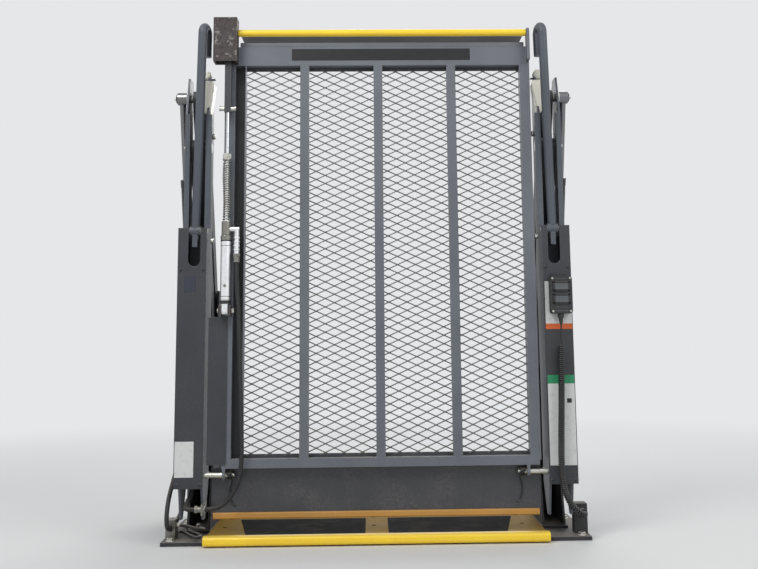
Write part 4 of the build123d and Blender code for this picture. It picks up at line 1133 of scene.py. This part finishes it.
class LIFT_OT_hand_control(bpy.types.Operator):
    """Framed rockers, pale ledges as painted highlights, the lid seam as near-black painted shade, and the
    cord gland of the hand control
    """

    bl_idname = "lift.hand_control"
    bl_label = "Hand control"

    def execute(self, context):
        low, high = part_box("pendant")
        face = low.y
        middle_x = (low.x + high.x) / 2
        rocker = [(-0.0092, 0.001), (-0.0092, -0.0040), (-0.0084, -0.0048), (-0.003, -0.0034),
                  (0.003, -0.0030), (0.0084, -0.0022), (0.0092, -0.0014), (0.0092, 0.001)]
        frames = []
        rockers = []
        for z in (0.6800, 0.6455):
            for across, up, wide, tall in ((0, 0.0110, 0.0480, 0.0056), (0, -0.0110, 0.0480, 0.0056),
                                           (0.0206, 0, 0.0068, 0.0276), (-0.0206, 0, 0.0068, 0.0276)):
                x0, x1 = middle_x + across - wide / 2, middle_x + across + wide / 2
                frames.append((slab, (x0, face - 0.0030, z + up - tall / 2),
                               (x1, face + 0.001, z + up + tall / 2), 0.0012, 3))
            outline = [(middle_x + 0.0178, face + y, z + up) for up, y in reversed(rocker)]
            rockers.append((sheet_outline, outline, 0.0356, RIGHT))
        made("switch_frames", "switch_plastic", "carriage", frames)
        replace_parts(made("switch_rockers", "bezel", "carriage", rockers), "pendant_switches")
        # Pale strips above and below the rockers and near the foot: painted highlights on the shell's ledges
        made("pendant_ledges", "bezel", "carriage", [
            (slab, (middle_x - 0.0170, face - 0.0008, z), (middle_x + 0.0170, face + 0.0004, z + tall),
             0.0004, 1)
            for z, tall in ((0.6112, 0.0026), (0.6220, 0.0016), (0.7000, 0.0016))])
        # A near-black sheet round the body: painted shade in the lid seam
        made("pendant_seam", "dark_gap", "carriage", [
            (slab, (low.x - 0.0003, face + 0.0155, low.z - 0.0003),
             (high.x + 0.0003, face + 0.0165, high.z + 0.0003), 0.004, 3)])
        x, y, z = LEAD_ROUTE[0]
        made("pendant_gland", "pendant_plastic", "carriage", [
            (rod, (x, y, z + 0.001), DOWN, [(0, 0.0082), (0.0045, 0.0088), (0.0115, 0.0088),
                                            (0.0125, 0.0078)], 8),
            (rod, (x, y, z - 0.011), DOWN, [(0, 0.0066), (0.008, 0.0054), (0.018, 0.0040)], 24)])
        return {"FINISHED"}


def hook_line(side):
    """The fold spring's wire: coils about the pivot pin, then a leg down the bridge plate with a foot."""
    pivot_y, pivot_z = FOLD_PIVOT
    reach, pitch, turns, steps = 0.0096, 0.0039, 4, 20
    points = []
    for step in range(turns * steps + 1):
        angle = 2 * pi * step / steps
        x = side * (0.4035 - pitch * step / steps)
        points.append((x, pivot_y - reach * cos(angle), pivot_z + reach * sin(angle)))
    x = points[-1][0]
    points.append((x, pivot_y - reach, pivot_z - 0.006))
    leg = [(0.0010, -0.1405, 0.168), (0.0060, -0.1300, 0.152), (0.0095, -0.1222, 0.138),
           (0.0085, -0.1215, 0.124), (0.0050, -0.1215, 0.112), (0.0030, -0.1215, 0.1045),
           (-0.0010, -0.1215, 0.1010), (-0.0080, -0.1215, 0.1015)]
    return points + [(x + side * out, y, z) for out, y, z in leg]


class LIFT_OT_fold_springs(bpy.types.Operator):
    """Black springs on the platform's pivot pins, hooked down the bridge plate, and the pins' own ends"""

    bl_idname = "lift.fold_springs"
    bl_label = "Fold springs"

    def execute(self, context):
        ends = []
        for name, side in SIDES:
            wire = [(tube, hook_line(side), 0.0019, 8)]
            spring = made(f"fold_spring_{name}", "black_steel", None, wire, 60.0)
            x = side * 0.390
            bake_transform(spring, "platform", "bridge", start=(x, -0.1385, 0.165), end=(x, -0.1215, 0.135))
            for out, profile, sides in (
                    (0.4065, [(0, 0.0060), (0.0195, 0.0060), (0.0200, 0.0052), (0.0225, 0.0050)], 28),
                    (0.4560, collar(0.0032, 0.0098, 0.0006, 0.0006), 32)):
                ends.append((rod, (side * out, *FOLD_PIVOT), (-side, 0, 0), profile, sides))
        made("pivot_pin_ends", "zinc", "carriage", ends)
        return {"FINISHED"}


class LIFT_OT_stops(bpy.types.Operator):
    """Cream stop buttons above the arms and the small bright stop pins beside the deck"""

    bl_idname = "lift.stops"
    bl_label = "Stops"

    def execute(self, context):
        outline = [(0.4545, 1.2680), (0.4575, 1.2745), (0.4850, 1.2745), (0.4905, 1.2690), (0.4910, 1.2540),
                   (0.4820, 1.1960), (0.4790, 1.1800), (0.4740, 1.1770), (0.4700, 1.1800), (0.4635, 1.2200),
                   (0.4570, 1.2540)]
        buttons = []
        tabs = []
        faces = []
        for side, x, size in ((-1, -0.480, 0.0125), (1, 0.479, 0.0150)):
            button = [(0, size * 0.8), (0.004, size), (0.016, size), (0.020, size * 0.9),
                      (0.022, size * 0.6)]
            buttons.append((rod, (x, -0.092, 1.302), FRONT, button, 36))
            near, far = sorted((side * 0.4572, x + side * 0.008))
            tabs.append((slab, (near, -0.1060, 1.2896), (far, -0.0920, 1.2922), 0.0008, 2))
            tabs.append((slab, (x - 0.008, -0.0945, 1.2900), (x + 0.008, -0.0920, 1.3060), 0.0008, 2))
            points = [(side * across, -0.1436, z) for across, z in outline]
            # Taken backwards on the right, so that both look to the front
            faces.append((sheet_outline, points[::-side], 0.0018, FRONT))
        made("guide_faces", "cream_plastic", "carriage", faces)
        made("stop_buttons", "cream_plastic", "carriage", buttons)
        made("stop_tabs", "arm_paint", "carriage", tabs)
        pin = [(-0.002, 0.0075), (0.0005, 0.0080), (0.0060, 0.0080), (0.0072, 0.0066), (0.0076, 0.0040)]
        made("stop_pins", "zinc", "carriage", [
            (rod, (side * 0.4575, -0.128, z), (-side, 0, 0), pin, 24)
            for side, z in ((-1, 1.116), (-1, 0.819), (1, 1.120), (1, 0.825))])
        return {"FINISHED"}


class LIFT_OT_fasteners(bpy.types.Operator):
    """Bolts, screws, rivets and grease nipples"""

    bl_idname = "lift.fasteners"
    bl_label = "Fasteners"

    def execute(self, context):
        tree = fastener_tree()
        labels = ("head_sides", "head_radius", "head_height", "washer_radius", "washer_height")

        def heads(name, finish, body, places, *sizes):
            """One piece of heads on their washers, at each (place, facing)."""
            values = dict(zip(labels, sizes))
            piece = run_tree(marked_points(name, places), tree, material=FINISHES[finish], **values)
            piece.name = name
            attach(piece, body)

        def nipples(name, body, places, *sizes):
            heads(name, "zinc", body, [((side * x, *pivot), (side, 0, 0)) for _, side in SIDES
                                       for x, pivot in places], 6, 0.0042, *sizes)

        base_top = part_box("base_plate")[1].z
        places = [((x, y, base_top), UP) for x in (-0.556, 0.556) for y in (-0.120, 0.120)]
        heads("floor_bolts", "zinc", "base", places, 6, 0.0098, 0.0064, 0.0125, 0.0018)
        low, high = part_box("threshold_plate")
        across = (low.y + 0.022, 0.0, high.y - 0.022)
        places = [((x, y, high.z), UP) for x in (-0.428, -0.008, 0.412) for y in across]
        heads("threshold_screws", "trodden_yellow", "base", places, 20, 0.0052, 0.0014, 0.0064, 0.0005)
        mesh_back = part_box("platform_mesh")[1].y
        places = [((0.0125 + 0.209 * bar, mesh_back, 0.262 + 0.1465 * k), BACK) for bar in (-2, -1, 0, 1, 2)
                  for k in range(8)]
        heads("deck_rivets", "deck_paint", "platform", places, 14, 0.0050, 0.0022, 0.0075, 0.0006)
        cover_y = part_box("arm_cover_left")[0].y
        places = [((side * x, cover_y, z), FRONT) for _, side in SIDES for x in (0.4745, 0.5370)
                  for z in (0.159, 0.736)]
        heads("cover_screws", "black_steel", "carriage", places, 18, 0.0036, 0.0022, 0.0044, 0.0006)
        pendant_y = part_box("pendant")[0].y
        places = [((x, pendant_y, z), FRONT) for x in (0.4858, 0.5342) for z in (0.6120, 0.7020)]
        heads("pendant_screws", "zinc", "carriage", places, 16, 0.0027, 0.0014, 0.0030, 0.0003)
        nipples("carriage_nipples", "carriage", [(0.5348, CARRIAGE_LOWER), (0.5348, FOLD_PIVOT)],
                0.0050, 0.0056, 0.0012)
        nipples("upper_rod_nipples", "carriage", [(0.5698, CARRIAGE_UPPER)], 0.0046, 0.0070, 0.0012)
        nipples("tower_nipples", "base", [(0.5398, TOWER_UPPER), (0.5398, TOWER_LOWER),
                                          (0.5698, CYLINDER_FOOT)],
                0.0046, 0.0070, 0.0012)
        low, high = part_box("pump_cover")
        rows = (low.z + 0.014, high.z - 0.058)
        places = [((x, high.y, z), BACK) for x in (low.x + 0.012, high.x - 0.012) for z in rows]
        places += [((high.x, y, z), RIGHT) for y in (low.y + 0.014, high.y - 0.014) for z in rows]
        heads("pump_screws", "zinc", "base", places, 16, 0.0042, 0.0024, 0.0060, 0.0010)
        return {"FINISHED"}


class LIFT_OT_pump(bpy.types.Operator):
    """Lid, ribs, louvres, oil cap and hand pump socket of the pump cover"""

    bl_idname = "lift.pump"
    bl_label = "Pump cover"

    def execute(self, context):
        low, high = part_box("pump_cover")
        seam_z = high.z - 0.044
        made("pump_lid", "pump_plastic", "base", [
            (slab, (low.x - 0.002, low.y + 0.0002, seam_z),
             (high.x + 0.002, high.y + 0.002, high.z + 0.002), 0.006, 4),
            (slab, (low.x - 0.0012, low.y + 0.0002, seam_z - 0.006),
             (high.x + 0.0012, high.y + 0.0012, seam_z - 0.0035), 0.001, 2)])
        tree = row_tree()
        rib_step = (high.x - low.x - 0.060) / 4
        for name, size, start, step, count in (
                ("pump_back_ribs", (0.006, 0.0034, 0.250), (low.x + 0.030, high.y, low.z + 0.158),
                 (rib_step, 0.0, 0.0), 5),
                ("pump_side_louvres", (0.0034, 0.090, 0.0045),
                 (high.x, (low.y + high.y) / 2, low.z + 0.190), (0.0, 0.0, 0.014), 9)):
            piece = linked(name, bpy.data.meshes.new(name))
            run_tree(piece, tree, size=size, start=start, step=step, count=count,
                     material=FINISHES["pump_plastic"])
            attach(piece, "base")
        top = high.z + 0.001
        made("pump_cap", "black_steel", "base", [
            (rod, (-0.540, 0.300, top), UP,
             [(0, 0.0210), (0.003, 0.0215), (0.004, 0.0170), (0.013, 0.0165), (0.015, 0.0140)], 32)])
        made("hand_pump_socket", "zinc", "base", [
            (rod, (-0.475, 0.290, top), UP,
             [(0, 0.0130), (0.004, 0.0130), (0.0045, 0.0100), (0.014, 0.0100), (0.0145, 0.0070),
              (0.008, 0.0068), (0.006, 0.0)], 24)])
        return {"FINISHED"}


class LIFT_OT_rail_fittings(bpy.types.Operator):
    """Handrail pivot pins with their washers, and the rings on the lift cylinders' eyes"""

    bl_idname = "lift.rail_fittings"
    bl_label = "Rail and cylinder fittings"

    def execute(self, context):
        washer = [(0, 0.0108), (0.0004, 0.0112), (0.0014, 0.0112), (0.0018, 0.0104)]
        made("rail_pin_washers", "zinc", "handrails", [
            (rod, (side * 0.500 + way * 0.0148, *RAIL_PIVOT), (way, 0, 0), washer, 32)
            for _, side in SIDES for way in (-1, 1)])
        snap_ring = [(-0.0006, 0.0118), (0, 0.0126), (0.0010, 0.0126), (0.0016, 0.0118), (0.0016, 0.0099),
                     (-0.0006, 0.0099)]
        for body, pivot in (("carriage", CARRIAGE_UPPER), ("base", CYLINDER_FOOT)):
            made(f"{body}_snap_rings", "black_steel", body, [
                (ring, (side * 0.5675, *pivot), (side, 0, 0), snap_ring, 28) for _, side in SIDES])
        axis = (Vector((0, *CARRIAGE_UPPER)) - Vector((0, *CYLINDER_FOOT))).normalized()
        for name, side in SIDES:
            foot = Vector((side * 0.552, *CYLINDER_FOOT))
            outward = Vector((side, 0, 0))
            gland = [(0, 0.0151), (0.0005, 0.0160), (0.022, 0.0160), (0.0232, 0.0152), (0.0232, 0.0092),
                     (0, 0.0092)]
            port = [(0, 0.0075), (0.0050, 0.0075), (0.0055, 0.0062), (0.0110, 0.0062), (0.0115, 0.0050)]
            made(f"cylinder_bands_{name}", "cylinder_black", "lift_barrels", [
                (ring, foot + axis * 0.4766, axis, gland, 40),
                *((ring, foot + axis * distance, axis, collar(0.0024, 0.0155, 0.0006, 0.0006, 0.0140), 40)
                  for distance in (0.0328, 0.0448, 0.4608)),
                (rod, foot + axis * 0.060 + outward * 0.0140, outward, port, 6)])
        return {"FINISHED"}


def shown(w):
    """1 for the rays that show a thing: from the camera, off a mirror or through glass."""
    path = w.node("ShaderNodeLightPath").outputs
    rays = [Signal(w, path[f"Is {kind} Ray"]) for kind in ("Camera", "Glossy", "Transmission")]
    return w.math("MAXIMUM", w.math("MAXIMUM", rays[0], rays[1]), rays[2])


class LIFT_OT_stage(bpy.types.Operator):
    """Pale floor, soft lamps, even sky and the camera"""

    bl_idname = "lift.stage"
    bl_label = "Studio"

    def execute(self, context):
        stage = context.scene.lift_stage
        sky = srgb(230, 231, 233)
        self.floor(context, tuple(stage.floor_colour), sky)
        self.sky(context, sky, stage.sky_level)
        for name, place, width, power in (("key", (-1.5, -2.2, 3.3), 1.6, 62.0),
                                          ("fill", (2.3, -2.2, 2.6), 2.0, 34.0),
                                          ("back", (0.6, 2.6, 2.6), 2.0, 40.0)):
            light = bpy.data.lights.new(name, "AREA")
            light.shape = "DISK"
            light.size = width
            light.energy = power * stage.lamp_level
            lamp = linked(name, light)
            lamp.location = place
            aim = Vector((0.0, 0.0, 0.7)) - Vector(place)
            lamp.rotation_euler = aim.to_track_quat("-Z", "Y").to_euler()
        self.camera(context)
        context.scene.view_settings.view_transform = "Standard"
        return {"FINISHED"}

    def floor(self, context, colour, sky):
        """A plain floor that fades into the sky's own tone where only the camera sees it."""
        size = 14.0
        mesh = bpy.data.meshes.new("floor")
        corners = [(x * size, y * size, -0.0005) for x, y in ((-1, -1), (1, -1), (1, 1), (-1, 1))]
        mesh.from_pydata(corners, [], [(0, 1, 2, 3)])
        floor = linked("floor", mesh)
        material, w = blank_material("floor")
        w.shade(Base_Color=w.mix(w.noise(1.3, 3.0), tinted(colour, 0.96), colour), Roughness=0.75)
        flat = w.vector_math("MULTIPLY", 0, i0=w.place, i1=(1.0, 1.0, 0.0))
        far = w.between(w.vector_math("LENGTH", "Value", i0=flat), 0.9, 4.2)
        glow = w.out("ShaderNodeEmission", Color=sky, Strength=1.0)
        fade = w.out("ShaderNodeMixShader", i0=far * shown(w), i1=Signal(w, w.shader.outputs[0]), i2=glow)
        w.put(fade, material.node_tree.nodes["Material Output"].inputs["Surface"])
        mesh.materials.append(material)

    def sky(self, context, sky, level):
        """Even, slightly cool light all round, and the sky's own tone where it is seen."""
        world = bpy.data.worlds.new("studio")
        world.use_nodes = True
        context.scene.world = world
        nodes = world.node_tree.nodes
        w = Wiring(world.node_tree, shader=nodes["Background"])
        w.shade(Color=(0.92, 0.95, 1.0, 1.0), Strength=level)
        seen = w.out("ShaderNodeBackground", Color=sky, Strength=1.0)
        blend = w.out("ShaderNodeMixShader", i0=shown(w), i1=Signal(w, w.shader.outputs[0]), i2=seen)
        w.put(blend, nodes["World Output"].inputs["Surface"])

    def camera(self, context):
        """The photo's camera, moved in by its zoom."""
        zoom = 1.63
        pitch, yaw, roll = radians(7.83), radians(1.3), radians(-0.6)
        data = bpy.data.cameras.new("camera")
        data.lens = 27.07 * zoom
        data.shift_x = -0.0099 * zoom
        data.shift_y = -0.0574 * zoom
        data.clip_end = 60.0
        camera = linked("camera", data)
        turn = Matrix.Rotation(-yaw, 4, "Z") @ Matrix.Rotation(pi / 2 + pitch, 4, "X")
        turn = turn @ Matrix.Rotation(roll, 4, "Z")
        camera.matrix_world = Matrix.Translation((-0.012, -2.725, 0.535)) @ turn
        context.scene.camera = camera


STEPS = (LIFT_OT_paint_frame, LIFT_OT_deck_mesh, LIFT_OT_curly_cord, LIFT_OT_hoses,
         LIFT_OT_barrier_cylinder, LIFT_OT_plates, LIFT_OT_hand_control, LIFT_OT_fold_springs,
         LIFT_OT_stops, LIFT_OT_fasteners, LIFT_OT_pump, LIFT_OT_rail_fittings, LIFT_OT_stage)
SETTINGS = (LiftColours, LiftSizes, LiftStage)


class LIFT_PT_panel(bpy.types.Panel):
    """Sidebar panel with the settings and the steps in order"""

    bl_idname = "LIFT_PT_panel"
    bl_label = "Wheelchair lift"
    bl_space_type = "VIEW_3D"
    bl_region_type = "UI"
    bl_category = "Lift"

    def draw(self, context):
        layout = self.layout
        for settings in (context.scene.lift_colours, context.scene.lift_sizes, context.scene.lift_stage):
            box = layout.box()
            for name in settings.bl_rna.properties.keys():
                if name not in ("rna_type", "name"):
                    box.prop(settings, name)
        for step in STEPS:
            layout.operator(step.bl_idname)


def register():
    for kind in (*SETTINGS, *STEPS, LIFT_PT_panel):
        bpy.utils.register_class(kind)
    bpy.types.Scene.lift_colours = bpy.props.PointerProperty(type=LiftColours)
    bpy.types.Scene.lift_sizes = bpy.props.PointerProperty(type=LiftSizes)
    bpy.types.Scene.lift_stage = bpy.props.PointerProperty(type=LiftStage)


def unregister():
    del bpy.types.Scene.lift_stage
    del bpy.types.Scene.lift_sizes
    del bpy.types.Scene.lift_colours
    for kind in reversed((*SETTINGS, *STEPS, LIFT_PT_panel)):
        bpy.utils.unregister_class(kind)


def main():
    """Builds every piece in order."""
    register()
    for step in STEPS:
        group, name = step.bl_idname.split(".")
        getattr(getattr(bpy.ops, group), name)()


if __name__ == "__main__":
    main()
